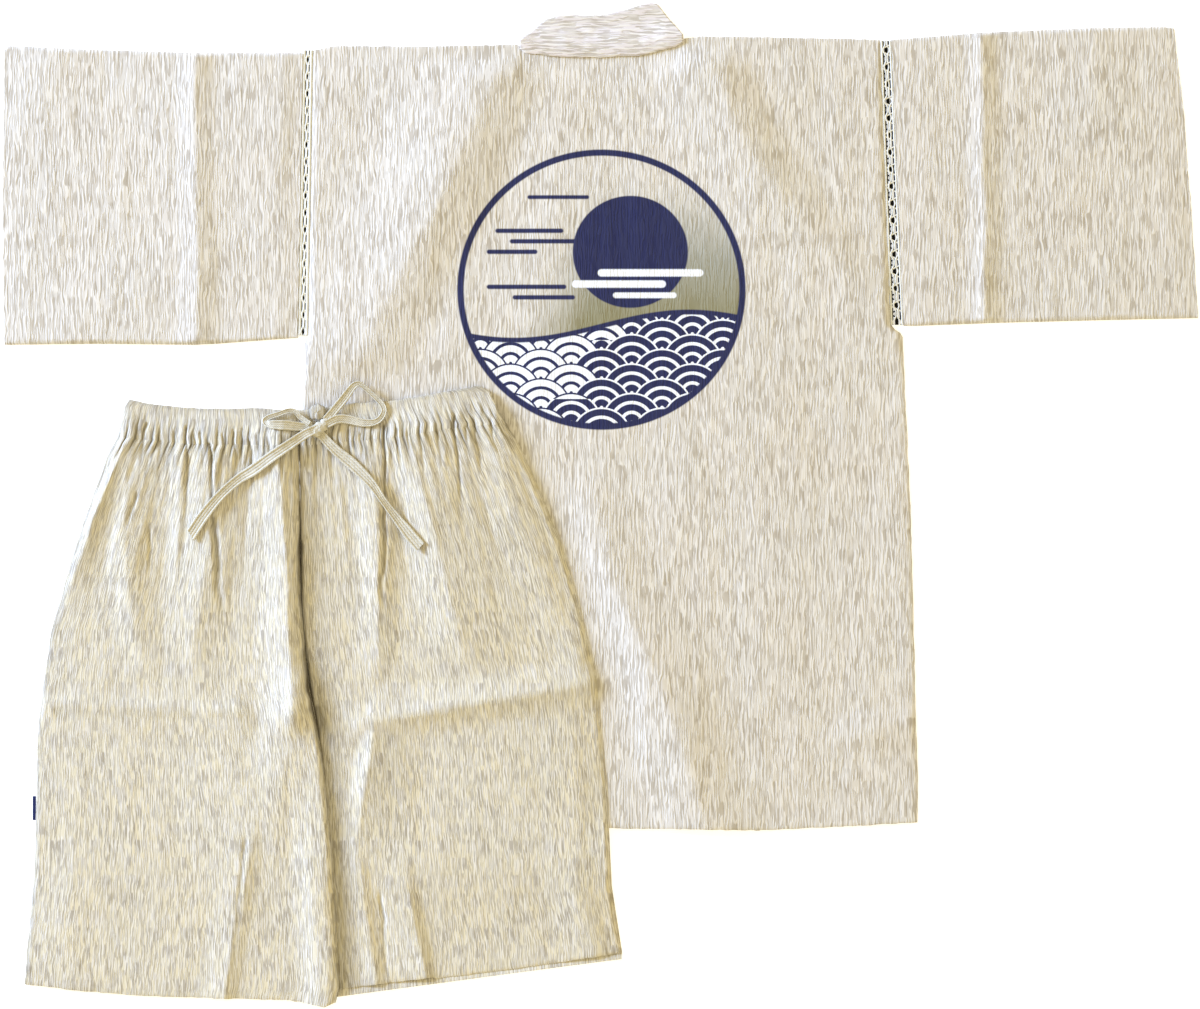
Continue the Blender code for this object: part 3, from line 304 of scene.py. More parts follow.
CREASES = [
    Crease(-451, 84, -460, 42, 1.3, 1.5, 0.6), Crease(-437, 66, -441, 46, 1.1, 1.2, 0.5),
    Crease(-424, 76, -427, 30, 1.1, 1.0, 0.4), Crease(-412, 80, -414, -14, 1.3, 1.8, 0.75),
    Crease(-404, 74, -403, 48, 1.0, 1.2, 0.5), Crease(-398, 76, -397, 36, 1.2, 1.5, 0.6),
    Crease(-389, 64, -387, -26, 1.5, 2.2, 0.95), Crease(-387, -10, -378, -110, 3.0, 2.8, 0.6),
    Crease(-376, 74, -374, 46, 1.0, 1.2, 0.5), Crease(-365, 76, -363, 30, 1.3, 1.6, 0.6),
    Crease(-357, 68, -359, 38, 1.2, 1.5, 0.6), Crease(-349, 66, -347, 8, 1.3, 1.4, 0.5),
    Crease(-341, 72, -340, 48, 1.0, 1.0, 0.4), Crease(-330, 70, -329, 22, 1.2, 1.2, 0.5),
    Crease(-316, 64, -317, 20, 1.2, 1.2, 0.5), Crease(-285, 70, -284, 24, 1.2, 1.2, 0.5),
    Crease(-270, 74, -269, 34, 1.2, 1.3, 0.5), Crease(-260, 66, -259, 46, 1.0, 1.0, 0.4),
    Crease(-250, 78, -250, 38, 1.3, 1.5, 0.6), Crease(-238, 74, -237, 44, 1.3, 1.4, 0.6),
    Crease(-226, 72, -226, 52, 1.0, 1.0, 0.4), Crease(-215, 82, -216, -26, 1.6, 2.2, 0.95),
    Crease(-216, -4, -218, -104, 2.2, 2.6, 0.6), Crease(-202, 80, -199, 30, 1.3, 1.6, 0.6),
    Crease(-191, 76, -189, 52, 1.0, 1.1, 0.4), Crease(-180, 78, -176, 34, 1.2, 1.4, 0.5),
    Crease(-163, 82, -159, 44, 1.2, 1.4, 0.5), Crease(-146, 92, -139, -4, 1.5, 1.8, 0.75),
    Crease(-134, 80, -131, 56, 1.0, 1.1, 0.4), Crease(-126, 88, -119, 30, 1.3, 1.5, 0.5),
    Crease(-110, 88, -102, 50, 1.2, 1.2, 0.5), Crease(-462, 14, -474, -24, 1.4, 1.2, 0.3),
    Crease(-452, -22, -450, -70, 1.6, 1.2, 0.3), Crease(-352, -330, -371, -484, 2.0, 1.0, 0.25),
    Crease(-219, -385, -214, -474, 1.8, 1.4, 0.25), Crease(-548, -207, -372, -213, 5.0, 0.6, 0.12),
    # the last two are shallow and mostly painted shade: on the right flank of the V fold, and in the hollow
    # beside the crotch
    Crease(-205, -222, -218, -340, 24.0, 0.2, 0.10), Crease(-286, -198, -266, -246, 9.0, 0.6, 0.78)]

# ---- tape: places along its middle, its width there and how far it is lifted over what it crosses
Stop = namedtuple("Stop", "x y width lift")

TAIL_LEFT = [Stop(-281.0, 76.0, 8.0, 3.4), Stop(-288.0, 73.0, 9.0, 3.6), Stop(-295.0, 69.5, 9.5, 2.8),
             Stop(-303.0, 64.0, 10.0, 1.4), Stop(-313.0, 57.0, 10.5, 0.3), Stop(-329.5, 46.0, 11.0, 0.0),
             Stop(-345.5, 34.5, 11.5, 0.0), Stop(-361.5, 24.5, 10.0, 0.0), Stop(-380.0, 7.5, 10.0, 0.0),
             Stop(-396.0, -12.0, 11.5, 0.0), Stop(-408.5, -30.5, 12.0, 0.0)]
TAIL_RIGHT = [Stop(-279.5, 70.5, 9.0, 0.4), Stop(-272.5, 63.0, 9.5, 0.0), Stop(-262.5, 53.0, 10.5, 0.0),
              Stop(-247.5, 40.5, 11.5, 0.0), Stop(-228.5, 21.5, 9.5, 0.0), Stop(-215.5, 3.0, 7.5, 0.0),
              Stop(-201.5, -15.5, 9.5, 0.0), Stop(-190.5, -29.5, 12.0, 0.0), Stop(-179.5, -42.5, 12.0, 0.0)]
LOOP_RIGHT = [Stop(-273.5, 84.0, 8.5, 3.4), Stop(-266.0, 93.0, 8.5, 2.0), Stop(-254.5, 107.5, 8.5, 0.6),
              Stop(-247.0, 117.5, 7.0, 0.4), Stop(-242.0, 120.5, 5.5, 0.4), Stop(-236.5, 117.8, 5.0, 0.2),
              Stop(-225.5, 108.0, 5.0, 0.0), Stop(-217.0, 98.5, 5.5, 0.0), Stop(-216.5, 90.5, 6.0, 0.0),
              Stop(-223.0, 83.0, 6.5, 0.0), Stop(-235.0, 81.2, 8.0, 0.0), Stop(-250.5, 84.6, 9.0, 0.3),
              Stop(-262.0, 85.0, 9.0, 1.6), Stop(-272.5, 80.0, 8.5, 3.2)]
LOOP_LEFT = [Stop(-287.0, 79.0, 7.0, 0.8), Stop(-297.0, 77.5, 8.5, 0.2), Stop(-312.0, 79.0, 10.0, 0.0),
             Stop(-324.0, 79.5, 9.0, 0.0), Stop(-331.5, 80.5, 7.0, 0.0), Stop(-334.0, 84.0, 6.0, 0.0),
             Stop(-330.0, 87.0, 5.5, 0.2), Stop(-321.0, 90.0, 5.0, 0.5), Stop(-311.0, 93.5, 5.0, 0.8),
             Stop(-304.5, 92.5, 5.0, 1.0), Stop(-299.0, 87.0, 5.0, 1.2), Stop(-290.0, 80.5, 6.0, 2.2)]

TAPE_STEPS = 12         # places from one stop to the next
TAPE_SMOOTHING = 24     # times that the level it lies on is filled up between its neighbours
TAPE_TILT = 0.10        # how steeply it tilts to and fro
TAPE_THIN = 0.14        # how much thinner and thicker it gets
TAPE_END = 9.0          # its cut end leans over this run
TAPE_REACH = 4.5        # it lies on the highest place this near
KNOT_REACH = 3.5

# ---- a tape's section: how far aside, in half widths, and how high, in half thicknesses ---------
TAPE_SECTION = ((-1.0, 0.0), (-0.95, 0.7), (-0.8, 1.0), (-0.62, 0.8), (-0.5, 0.1), (-0.38, 0.42),
                (-0.1, 0.5), (0.0, 0.15), (0.1, 0.5), (0.38, 0.42), (0.5, 0.1), (0.62, 0.8),
                (0.8, 1.0), (0.95, 0.7), (1.0, 0.0), (0.92, -0.8), (0.5, -1.0), (0.0, -1.0),
                (-0.5, -1.0), (-0.92, -0.8))

# ---- the knot's balls of wound tape: place from its middle, half sizes, turn and ridges; the last
# ---- one is the pucker of casing cloth above it
Ball = namedtuple("Ball", "x y z rx ry rz turn ridges")

KNOT_BALLS = [Ball(2.6, -4.2, 4.2, 8.6, 6.0, 2.9, 0.50, 5.0),
              Ball(-1.2, -8.6, 4.3, 5.4, 4.6, 2.9, -0.75, 4.0),
              Ball(7.6, 0.8, 4.0, 5.2, 4.6, 2.8, 0.95, 4.0)]
PUCKER_BALL = Ball(0.3, 11.6, 2.6, 8.6, 8.0, 3.2, 0.0, 5.0)


# ---- dashes of the crinkled weave: how much its noise is stretched across and along, its detail and
# ---- the layer it is read on, the values at which a dash starts and is full, and how far it is moved
# ---- aside, in metres
Dash = namedtuple("Dash", "across along detail layer start full aside")

COARSE = Dash(1.0, 1.0, 0.0, 0.0, 0.54, 0.61, 0.0)
FINE = Dash(1.3, 1.5, 0.0, 7.3, 0.56, 0.63, 0.0)
# the next two are painted highlights: pale dashes on the lit left flank beside each coarse dark dash, and
# on crinkle crests
LIT_FLANK_HIGHLIGHT = COARSE._replace(aside=0.0013)
CREST_HIGHLIGHT = Dash(0.9, 0.9, 0.0, 15.1, 0.53, 0.62, 0.0)
UNEVEN = Dash(0.3, 1.3, 1.5, 3.7, 0.34, 0.60, 0.0)

SWAY = 0.0028             # the dashes sway aside by this much, in metres
SWAY_SCALE = (60.0, 30.0, 1.0)
PATCH_SCALE, PATCH_SHIFT = (38.0, 20.0, 1.0), (0.0, 0.0, 3.1)
HUE_SCALE, HUE_SHIFT = (24.0, 11.0, 1.0), (5.0, 2.0, 0.0)
THREAD_SCALE = (260.0, 260.0, 260.0)
FLOOR_SCALE = (40.0, 40.0, 40.0)
COOL_YARN = (0.50, 0.53, 0.55)

# ---- the round print, in shares of its radius ---------------------------------------------------
Moon = namedtuple("Moon", "x y radius")
Shore = namedtuple("Shore", "y rise bends thick")
Bar = namedtuple("Bar", "x y half thick")

PRINT_MIDDLE = (0.001, 0.2145)    # in metres
PRINT_SQUASH = 0.972
PRINT_SOFT = 0.012
PRINT_WORN = 0.035
RING_INSIDE = 0.955
MOON = Moon(0.20, 0.27, 0.40)
SHORE = Shore(-0.26, 0.10, 2.6, 0.018)
WAVE_RADIUS = 0.21
WAVE_RINGS = 3.0
DEEP_FROM = 0.18
MIST_PALE = [Bar(0.34, 0.12, 0.34, 0.026), Bar(0.12, 0.04, 0.30, 0.026), Bar(0.30, -0.04, 0.20, 0.020)]
MIST_INK = [Bar(-0.50, 0.42, 0.22, 0.016), Bar(-0.38, 0.345, 0.24, 0.016), Bar(-0.62, 0.27, 0.16, 0.016),
            Bar(-0.30, 0.66, 0.20, 0.014), Bar(-0.52, 0.02, 0.26, 0.016), Bar(-0.40, -0.055, 0.20, 0.016)]


# ---- sizes and colours that a user may change ---------------------------------------------------
def tint(name, description, colour):
    """A colour property with its name and default."""
    return FloatVectorProperty(name=name, description=description, subtype="COLOR", size=3,
                               default=colour, min=0.0, max=1.0)


class JinbeiCloth(bpy.types.PropertyGroup):
    """The crinkled cotton of the jacket and the shorts."""
    ground: tint("Yarn", "Pale yarn between the streaks", (0.645, 0.588, 0.508))
    # the streaks are greige yarn and partly painted shade in the crinkle's grooves; the crest colour is a
    # painted highlight on crinkle crests and lit flanks
    streak: tint("Streak", "Greige streaks that run with the grain", (0.345, 0.29, 0.215))
    crest: tint("Crest", "Top of the crinkle, where the yarn is palest", (0.755, 0.708, 0.635))
    shorts: tint("Shorts", "Yarn of the shorts", (0.690, 0.608, 0.430))
    # painted shade: this colour is mixed into the cloth where the crease attribute paints shade
    crease: tint("Crease", "Shade held deep in a crease", (0.075, 0.060, 0.040))
    collar: tint("Collar", "Yarn of the collar band", (0.70, 0.63, 0.60))
    streak_width: FloatProperty(name="Streak width", description="Across one streak and its gap",
                                default=0.0019, min=0.0005, unit="LENGTH")
    streak_length: FloatProperty(name="Streak length", description="Along one streak",
                                 default=0.021, min=0.002, unit="LENGTH")
    crinkle: FloatProperty(name="Crinkle", description="How deep the crinkle lies",
                           default=0.0002, min=0.0, unit="LENGTH")
    gather: FloatProperty(name="Gather", description="Mean height of a gather at the casing",
                          default=0.0013, min=0.0005, unit="LENGTH")


class JinbeiPrint(bpy.types.PropertyGroup):
    """The round print on the jacket's back: a moon over waves."""
    ink: tint("Ink", "Ring, moon and wave lines", (0.007, 0.011, 0.066))
    bare: tint("Bare", "Pale parts of the print", (0.83, 0.84, 0.87))
    olive_high: tint("Olive, high", "Ground behind the moon", (0.29, 0.285, 0.225))
    olive_low: tint("Olive, low", "Ground above the waves", (0.185, 0.165, 0.058))
    radius: FloatProperty(name="Radius", description="Outer radius of the ring, sideways",
                          default=0.144, min=0.02, unit="LENGTH")


class JinbeiTrim(bpy.types.PropertyGroup):
    """Openwork, drawstring and tab."""
    lace: tint("Openwork", "Cream thread of the openwork", (0.80, 0.77, 0.68))
    # painted shade: the lower openwork is near black, standing for the shadow seen through the upper one's
    # holes
    lace_painted_shade: tint("Openwork shade", "Upper side of the lower openwork", (0.012, 0.011, 0.009))
    tape: tint("Drawstring", "Cotton tape", (0.65, 0.59, 0.455))
    tab: tint("Tab", "Woven tab in the side seam", (0.022, 0.029, 0.10))


class JinbeiStage(bpy.types.PropertyGroup):
    """Floor, lights and camera."""
    floor: tint("Floor", "Plain pale floor", (0.93, 0.93, 0.93))
    key_colour: tint("Key colour", "Cool light from the left", (0.43, 0.60, 1.0))
    warm_colour: tint("Warm colour", "Warm light from the right", (1.0, 0.88, 0.50))
    sky_colour: tint("Sky colour", "Soft light from all round", (1.0, 0.903, 0.625))
    key: FloatProperty(name="Key", description="Power of the light from the left, in watts",
                       default=1104.0, min=0.0)
    warm: FloatProperty(name="Warm", description="Strength of the light from the right",
                        default=0.4, min=0.0)
    sky: FloatProperty(name="Sky", description="Strength of the light from all round",
                       default=0.887, min=0.0)
    glow: FloatProperty(name="Glow", description="How much the floor is lit from below",
                        default=0.5, min=0.0)
    height: FloatProperty(name="Camera height", description="Height of the camera over the floor",
                          default=3.3333, min=0.5, unit="LENGTH")


def settings(group):
    """One of the groups of sizes and colours, as they stand in the scene."""
    return getattr(bpy.context.scene, "jinbei_" + group)


# ---- shared sums --------------------------------------------------------------------------------
def read(table, at):
    """A table's second column, read at values of its first one, straight between its rows."""
    rows = sorted(table)
    return np.interp(at, [row[0] for row in rows], [row[1] for row in rows])


def shifted(table, by):
    """The same edge with its second column moved by a distance."""
    return [type(row)(row[0], row[1] + by) for row in table]


def soft_step(t):
    """0 to 1 with level ends: t squared times (3 - 2t)."""
    t = np.clip(t, 0.0, 1.0)
    return t * t * (3.0 - 2.0 * t)


def hills(x, y, wide, tall, seed):
    """Uneven hills from -1 to 1: seeded random heights on a lattice, blended by the soft step.

    Every column of the lattice starts at its own place along y, so that no rows show.
    """
    u = np.asarray(x) / wide
    first = np.floor(u).astype(int)
    share = soft_step(u - first)
    chance = np.random.default_rng(seed)
    heights, starts = chance.uniform(-1.0, 1.0, (97, 97)), chance.uniform(0.0, 1.0, 97)

    def column(at):
        """Heights along one column, blended between its rows."""
        v = np.asarray(y) / tall + starts[at % 97]
        row = np.floor(v).astype(int)
        up = soft_step(v - row)
        return heights[at % 97, row % 97] * (1 - up) + heights[at % 97, (row + 1) % 97] * up

    return column(first) * (1 - share) + column(first + 1) * share


def raised(table, x, y, seed):
    """The hills of a table added up, each from 0 to its height; their seeds count up from one."""
    return sum(row.height * (1 + hills(x, y, row.wide, row.tall, seed + place)) / 2
               for place, row in enumerate(table))


def waver(y, length, seed):
    """Uneven swings from -1 to 1 along y: hills read on one column of their lattice."""
    return hills(y * 0, y, 1.0, length, seed)


def swing(run, length, seed):
    """Uneven swings from -1 to 1 along a run: hills read across the columns of their lattice."""
    return hills(run, run * 0, length, 1.0, seed)


def eased(count, edge=0.0012):
    """Shares from 0 to 1 in even steps, with two close ones beside each end for a rolled edge."""
    near = [0.0, edge, 3 * edge]
    return np.concatenate([near, np.linspace(0, 1, count)[1:-1], [1 - share for share in near[::-1]]])


def lay_out(panel, across, up):
    """Plan places of a panel's grid, rows from its bottom edge to its top one."""
    u, v = np.meshgrid(np.asarray(across, float), np.asarray(up, float))
    low = np.mean([row.y for row in panel.bottom])
    high = np.mean([row.y for row in panel.top])
    y = low + (high - low) * v
    for _ in range(12):
        x = (1.0 - u) * read(panel.left, y) + u * read(panel.right, y)
        y = (1.0 - v) * read(panel.bottom, x) + v * read(panel.top, x)
    return x, y


def ruffled(x, y):
    """Plan places pulled about by the crinkle: small uneven hills move them sideways and along."""
    return x + RUFFLE * hills(x, y, 7.0, 8.0, 41), y + RUFFLE * hills(x, y, 6.0, 9.0, 42)


def fold_height(fold, x, y):
    """Height of one fold: full on its crest, falling to nothing at the edge of each flank.

    The left flank lies towards -X, and above a crest that runs level from left to right. A round
    crest falls by the soft step and a sharp one by the power 1.5 of the share that is left.
    """
    places = [(fold.x0, fold.y0, fold.h0), (fold.x1, fold.y1, fold.h1), (fold.x2, fold.y2, fold.h2)]
    nearest = np.full(np.shape(x), np.inf)
    height = np.zeros(np.shape(x))
    for (ax, ay, ah), (bx, by, bh) in zip(places, places[1:]):
        run = math.hypot(bx - ax, by - ay)
        along = np.clip(((x - ax) * (bx - ax) + (y - ay) * (by - ay)) / run ** 2, 0.0, 1.0)
        off_x = x - ax - along * (bx - ax)
        off_y = y - ay - along * (by - ay)
        away = np.hypot(off_x, off_y)
        side = (off_x * (by - ay) - off_y * (bx - ax)) / (run * np.maximum(away, 1e-6))
        side = -side if by < ay else side
        flank = fold.left + (fold.right - fold.left) * soft_step(0.5 + 0.5 * side)
        left = np.clip(1.0 - away / flank, 0.0, 1.0)
        fall = (1.0 - fold.sharp) * soft_step(left) + fold.sharp * left ** 1.5
        here = (ah + (bh - ah) * along) * fall
        height = np.where(away < nearest, here, height)
        nearest = np.minimum(away, nearest)
    return height


def folds_height(folds, x, y):
    """All folds together: the cube root of their cubed heights' sum, crests bent by uneven hills."""
    bent = x + BEND * hills(x, y, 60.0, 55.0, 5)
    return np.cbrt(sum(fold_height(fold, bent, y) ** 3 for fold in folds))


def held_at_seams(panel, x, y):
    """1 inside a panel, 0 at its two side seams."""
    return (soft_step((x - read(panel.left, y)) / SEAM_FADE)
            * soft_step((read(panel.right, y) - x) / SEAM_FADE))


def edge_share(panel, x, y, run):
    """1 inside a panel, 0 on any of its four edges, over a run."""
    near = np.minimum(np.minimum(x - read(panel.left, y), read(panel.right, y) - x),
                      np.minimum(y - read(panel.bottom, x), read(panel.top, x) - y))
    return soft_step(near / run)


# ---- how high each layer lies -------------------------------------------------------------------
def lap_height(x):
    """What a layer climbs where the fronts lap, at the middle of the jacket."""
    return LAYER * soft_step((FRONT_LAP + LAP_RAMP - np.abs(x)) / LAP_RAMP)


def past_shorts(x, y):
    """0 under the shorts and beside them, 1 well clear of them."""
    side = x - read(OUTER_RIGHT + [WAIST_CORNER], y)
    above = y - read(WAIST_TOP, x)
    return soft_step((np.maximum(side, above) - CLEAR_MARGIN) / CLEAR_FADE)


def crinkled(x, y, seed, slow=1.0):
    """Lie of crinkled cotton, never below 0: long narrow hills on wider ones, those times a share."""
    return raised(CRINKLE, x, y, seed) + raised(SLOW_CRINKLE, x, y, seed + len(CRINKLE)) * slow


def back_under(x, y):
    """Underside of the jacket's back."""
    shoulder = soft_step((read(JACKET.top, x) - y - COLLAR_LAP) / SHOULDER_FADE)
    free = soft_step(x / 50.0) * soft_step((FREE_SIDE_TOP - y) / FREE_SIDE_RUN)
    held = np.maximum(held_at_seams(JACKET, x, y), FREE_HOLD * free) * past_shorts(x, y) * shoulder
    return LAYER + lap_height(x) + (folds_height(JACKET_FOLDS, x, y) + crinkled(x, y, 11)) * held


def carried(x, y):
    """Height of what carries the shorts: the jacket where it lies under them, else the surface."""
    near_y = np.maximum(y, read(JACKET.bottom, x))
    near_x = np.maximum(x, read(JACKET.left, near_y))
    away = np.hypot(x - near_x, y - near_y)
    top = LAYER + lap_height(near_x) + LAYER
    return top * soft_step(1.0 - (away - DRAPE_MARGIN) / DRAPE_RAMP)


def left_leg_lift(x, y):
    """The left leg climbs onto the right one along its inner edge, below the crotch."""
    from_edge = x - (read(INNER_RIGHT, y) - LEG_LAP_RUN - LEG_LAP_START)
    return LEG_LIFT * soft_step(from_edge / LEG_LAP_RUN) * soft_step((CROTCH - y) / CROTCH_RUN)


def gather_profile(count):
    """Half-steps across a gathered stretch: where each is, its height and how far down it runs."""
    step = np.arange(2 * count + 1)
    place = step / (2.0 * count) + 0.15 / count * np.sin(1.7 * step)
    place[0], place[-1] = 0.0, 1.0
    uneven = 1.0 + 0.42 * np.sin(2.3 * step) + 0.3 * np.sin(0.9 * step + 1.0)
    height = np.where(step % 2 == 1, settings("cloth").gather / MM * uneven, 0.0)
    quick, slow = np.sin(1.3 * step), np.sin(0.47 * step + 2.0)
    return place, height, GATHER_REACH + GATHER_SPREAD[0] * quick + GATHER_SPREAD[1] * slow


def casing_profile():
    """The two legs' half-steps side by side across the whole casing."""
    left_place, left_height, _ = gather_profile(LEFT_GATHERS)
    right_place, right_height, _ = gather_profile(RIGHT_GATHERS)
    low_left, low_right = WAISTBAND.left[-1].x, WAISTBAND.right[-1].x
    seam = (INNER_LEFT[0].x - low_left) / (low_right - low_left)
    place = np.concatenate([left_place * seam, seam + right_place[1:] * (1 - seam)])
    return place, np.concatenate([left_height, right_height[1:]])


def puckers(across, place, height):
    """Gathers in full: broad crests with narrow valleys, a sine raised to a power below 1.

    Also gives the crest that each place belongs to, and how deep in a valley it is, from 0 to 1.
    """
    step = np.interp(across, place, np.arange(len(place)))
    crest = np.clip(2 * np.floor(step / 2) + 1, 0, len(place) - 1).astype(int)
    rise = np.clip(1.0 - np.abs(step - crest), 0, 1)
    return height[crest] * np.sin(rise * math.pi / 2) ** CREST_POWER, crest, (1.0 - rise) ** 4


def share_across(panel, x, y):
    """How far across a panel a place lies, from 0 at its left edge to 1 at its right one."""
    left, right = read(panel.left, y), read(panel.right, y)
    return np.clip((x - left) / (right - left), 0.0, 1.0)


def share_of_leg(leg, x, y):
    """How far across a leg a place lies, by its distance under the casing's seam, from 0 to 1."""
    outer = OUTER_LEFT if leg is LEFT else OUTER_RIGHT
    level = outer[0].y - np.maximum(read(CASING_SEAM, x) - y, 0.0)
    left = read(OUTER_LEFT if leg is LEFT else INNER_RIGHT, level)
    right = read(INNER_LEFT if leg is LEFT else OUTER_RIGHT, level)
    return np.clip((x - left) / (right - left), 0.0, 1.0)


def up_casing(x, y):
    """How far up the casing a place lies, from 0 at its seam to 1 at its upper edge."""
    seam_y = read(CASING_SEAM, x)
    return np.clip((y - seam_y) / (read(WAIST_TOP, x) - seam_y), 0.0, 1.0)


def casing_gathers(x, y):
    """Height of the casing's gathers and the shade painted into their valleys, both calmer upwards."""
    place, height = casing_profile()
    up = up_casing(x, y)
    sway = GATHER_SWAY * hills(x, y, 9.0, 13.0, 21) * soft_step(3.0 * up)
    pucker, crest, valley = puckers(np.clip(share_across(WAISTBAND, x, y) + sway, 0, 1), place, height)
    own_reach = np.clip(1.25 - up * (0.7 + 0.9 * np.sin(1.9 * crest) ** 2), 0.25, 1.0)
    reach = np.interp(up, *CASING_CALM) * own_reach
    return pucker * reach, valley * reach * VALLEY_PAINTED_SHADE


def casing_under(x, y):
    """Underside of the gathered front of the casing."""
    seam_y, up = read(CASING_SEAM, x), up_casing(x, y)
    at_seam = np.where(x < INNER_LEFT[0].x, leg_fullness(LEFT, x, seam_y), leg_fullness(RIGHT, x, seam_y))
    fine = raised(FINE_CRINKLE, x, y, 33) * np.interp(up, *CASING_CALM)
    relief = at_seam * (1.0 - 0.8 * soft_step(up)) + casing_gathers(x, y)[0] + fine - creases(x, y)[0]
    return carried(x, y) + LAYER + np.maximum(relief, 0.0)


def creases(x, y):
    """Depth of the thin troughs and the shade painted along them, each full on its line.

    A trough falls off to its sides as 1 minus the square of the distance in half widths. It starts
    over a short run and then shallows by the power 0.6 of the share of its length that is left.
    """
    deep, dark = np.zeros(np.shape(x)), np.zeros(np.shape(x))
    bent = x + CREASE_BEND * waver(y, 21.0, 6)
    for crease in CREASES:
        dx, dy = crease.x1 - crease.x0, crease.y1 - crease.y0
        run = math.hypot(dx, dy)
        along = ((bent - crease.x0) * dx + (y - crease.y0) * dy) / run
        away = np.abs((bent - crease.x0) * dy - (y - crease.y0) * dx) / run / crease.half
        ends = soft_step(along / CREASE_START) * np.clip((run - along) / run, 0.0, 1.0) ** 0.6
        trough = np.clip(1.0 - (away / CREASE_SIDES) ** 2, 0.0, 1.0) * ends
        line = np.clip(1.0 - away ** 2, 0.0, 1.0) * ends
        deep = np.maximum(deep, crease.depth * trough)
        dark = np.maximum(dark, crease.dark * line)
    return deep, dark


def leg_fullness(leg, x, y):
    """What a leg's folds, the cloth drawn in below the casing and the crinkle add to its height.

    The ridge along the middle seam is shared by both legs, with a groove where they join.
    """
    across = share_of_leg(leg, x, y)
    down = read(CASING_SEAM, x) - y
    wave_x = across * DRAWN_SPAN
    drawn = 0.8 + hills(wave_x, y, 7.5, 60.0, 31) + 0.6 * hills(wave_x, y, 15.0, 80.0, 32)
    fullness = np.maximum(drawn * 0.75 + 0.9, 0.0) * soft_step(1.0 - down / DRAWN_RUN)
    calm = 0.1 + 0.9 * soft_step((y - read(leg.front.bottom, x)) / HEM_FADE)
    over_jacket = soft_step((y - PAST_JACKET) / JACKET_FADE)
    slow = 1.0 - over_jacket * (1.0 - soft_step((read(OUTER_RIGHT, y) - x) / SLOW_FADE))
    own = folds_height(leg.folds, x, y) + fullness + crinkled(across * CRINKLE_SPAN, y, 51, slow) * calm
    outer = soft_step(np.minimum(x - read(LEG_LEFT.left, y), read(LEG_RIGHT.right, y) - x) / SEAM_FADE)
    outer = np.maximum(outer, FREE_HOLD * (1.0 if leg is LEFT else 1.0 - over_jacket))
    away = np.abs(x - read(INNER_LEFT, y))
    groove = soft_step(0.15 + away / SEAM_GROOVE)
    low = soft_step((CROTCH + RIDGE_FADE - y) / RIDGE_FADE)
    ridge = folds_height(SEAM_RIDGE, x, y) * (0.35 + 0.65 * groove)
    if leg is RIGHT:
        ridge = ridge * (1 - low * soft_step(away / RIDGE_RUN))
    return (own * (groove * (1 - low) + held_at_seams(leg.front, x, y) * low) + ridge) * outer


def side_seam(x, y):
    """1 at the shorts' right side seam where it lies on the jacket, and 0 inside and beside it."""
    near = read(OUTER_RIGHT, y) - x
    along = soft_step((y - PAST_JACKET) / JACKET_FADE) * soft_step((read(CASING_SEAM, x) - y) / JACKET_FADE)
    return (1.0 - soft_step(near / SEAM_JOIN)) * along


def leg_under(leg, x, y):
    """Underside of a leg's front, on its folds and on the gathers that die out below the casing."""
    place, height, reach = gather_profile(leg.gathers)
    down = read(CASING_SEAM, x) - y
    pucker, crest, _ = puckers(share_of_leg(leg, x, y), place, height)
    gathers = pucker * soft_step(1.0 - down / (LEG_SHARE * reach[crest]))
    fine = raised(FINE_CRINKLE, x, y, 33) * soft_step(1.0 - down / FINE_RUN)
    relief = np.maximum(leg_fullness(leg, x, y) + gathers + fine - creases(x, y)[0], 0.0)
    return carried(x, y) + leg.lift(x, y) + LAYER + relief - SEAM_SINK * side_seam(x, y)


def leg_painted_shade(leg, x, y):
    """Painted shade on a leg's front: in its creases, gather valleys and middle seam's crevice, a painted
    cast shadow beside that seam, and along the left side seam.
    """
    place, _, reach = gather_profile(leg.gathers)
    down = read(CASING_SEAM, x) - y
    _, crest, valley = puckers(share_of_leg(leg, x, y), place, place)
    gathers = valley * soft_step(1.0 - down / (LEG_SHARE * reach[crest])) * VALLEY_PAINTED_SHADE
    # painted shade in the crevice of the middle seam, widest at the notch
    away = np.abs(x - read(INNER_LEFT, y))
    notch = soft_step(1.0 - np.abs(y - NOTCH) / NOTCH_RUN)
    wide = LINE_HALF + 1.5 * waver(y, 30.0, 44) + 0.6 * waver(y, 9.0, 45) + 1.6 * notch
    line = np.clip(1.0 - away / wide, 0.0, 1.0) ** 0.6
    line = line * soft_step((LINE_TOP - y) / 24.0) * (0.9 + 0.3 * waver(y, 42.0, 46) + 0.3 * notch)
    line = line * (0.5 + 0.5 * soft_step((y - CROTCH + 140.0) / 90.0))
    # painted cast shadow of the left leg's ridge on the right leg beside the seam, and a little painted
    # shade on the left leg
    low = soft_step((CROTCH + 20.0 - y) / 60.0)
    run, shade = (34.0, 0.12 + 0.18 * low) if leg is RIGHT else (12.0, 0.10 * (1 - low))
    beside = soft_step(1.0 - away / run) * shade
    # painted shade along the shorts' left side seam
    edge = soft_step(1.0 - (x - read(OUTER_LEFT, y)) / 9.0) * SIDE_PAINTED_SHADE
    seam = np.clip(np.maximum(np.maximum(line, beside), edge), 0.0, 1.0)
    return np.maximum(np.maximum(creases(x, y)[1], gathers), seam)


def front_top(x, y):
    """Upper side of the shorts' front at any place."""
    legs = np.where(x < read(INNER_LEFT, y), leg_under(LEFT, x, y), leg_under(RIGHT, x, y))
    return np.where(y > read(CASING_SEAM, x), casing_under(x, y), legs) + GATHER_WALL


# ---- the two legs: their panels, what shapes them and how far each is lifted --------------------
Leg = namedtuple("Leg", "side front back folds gathers lift")

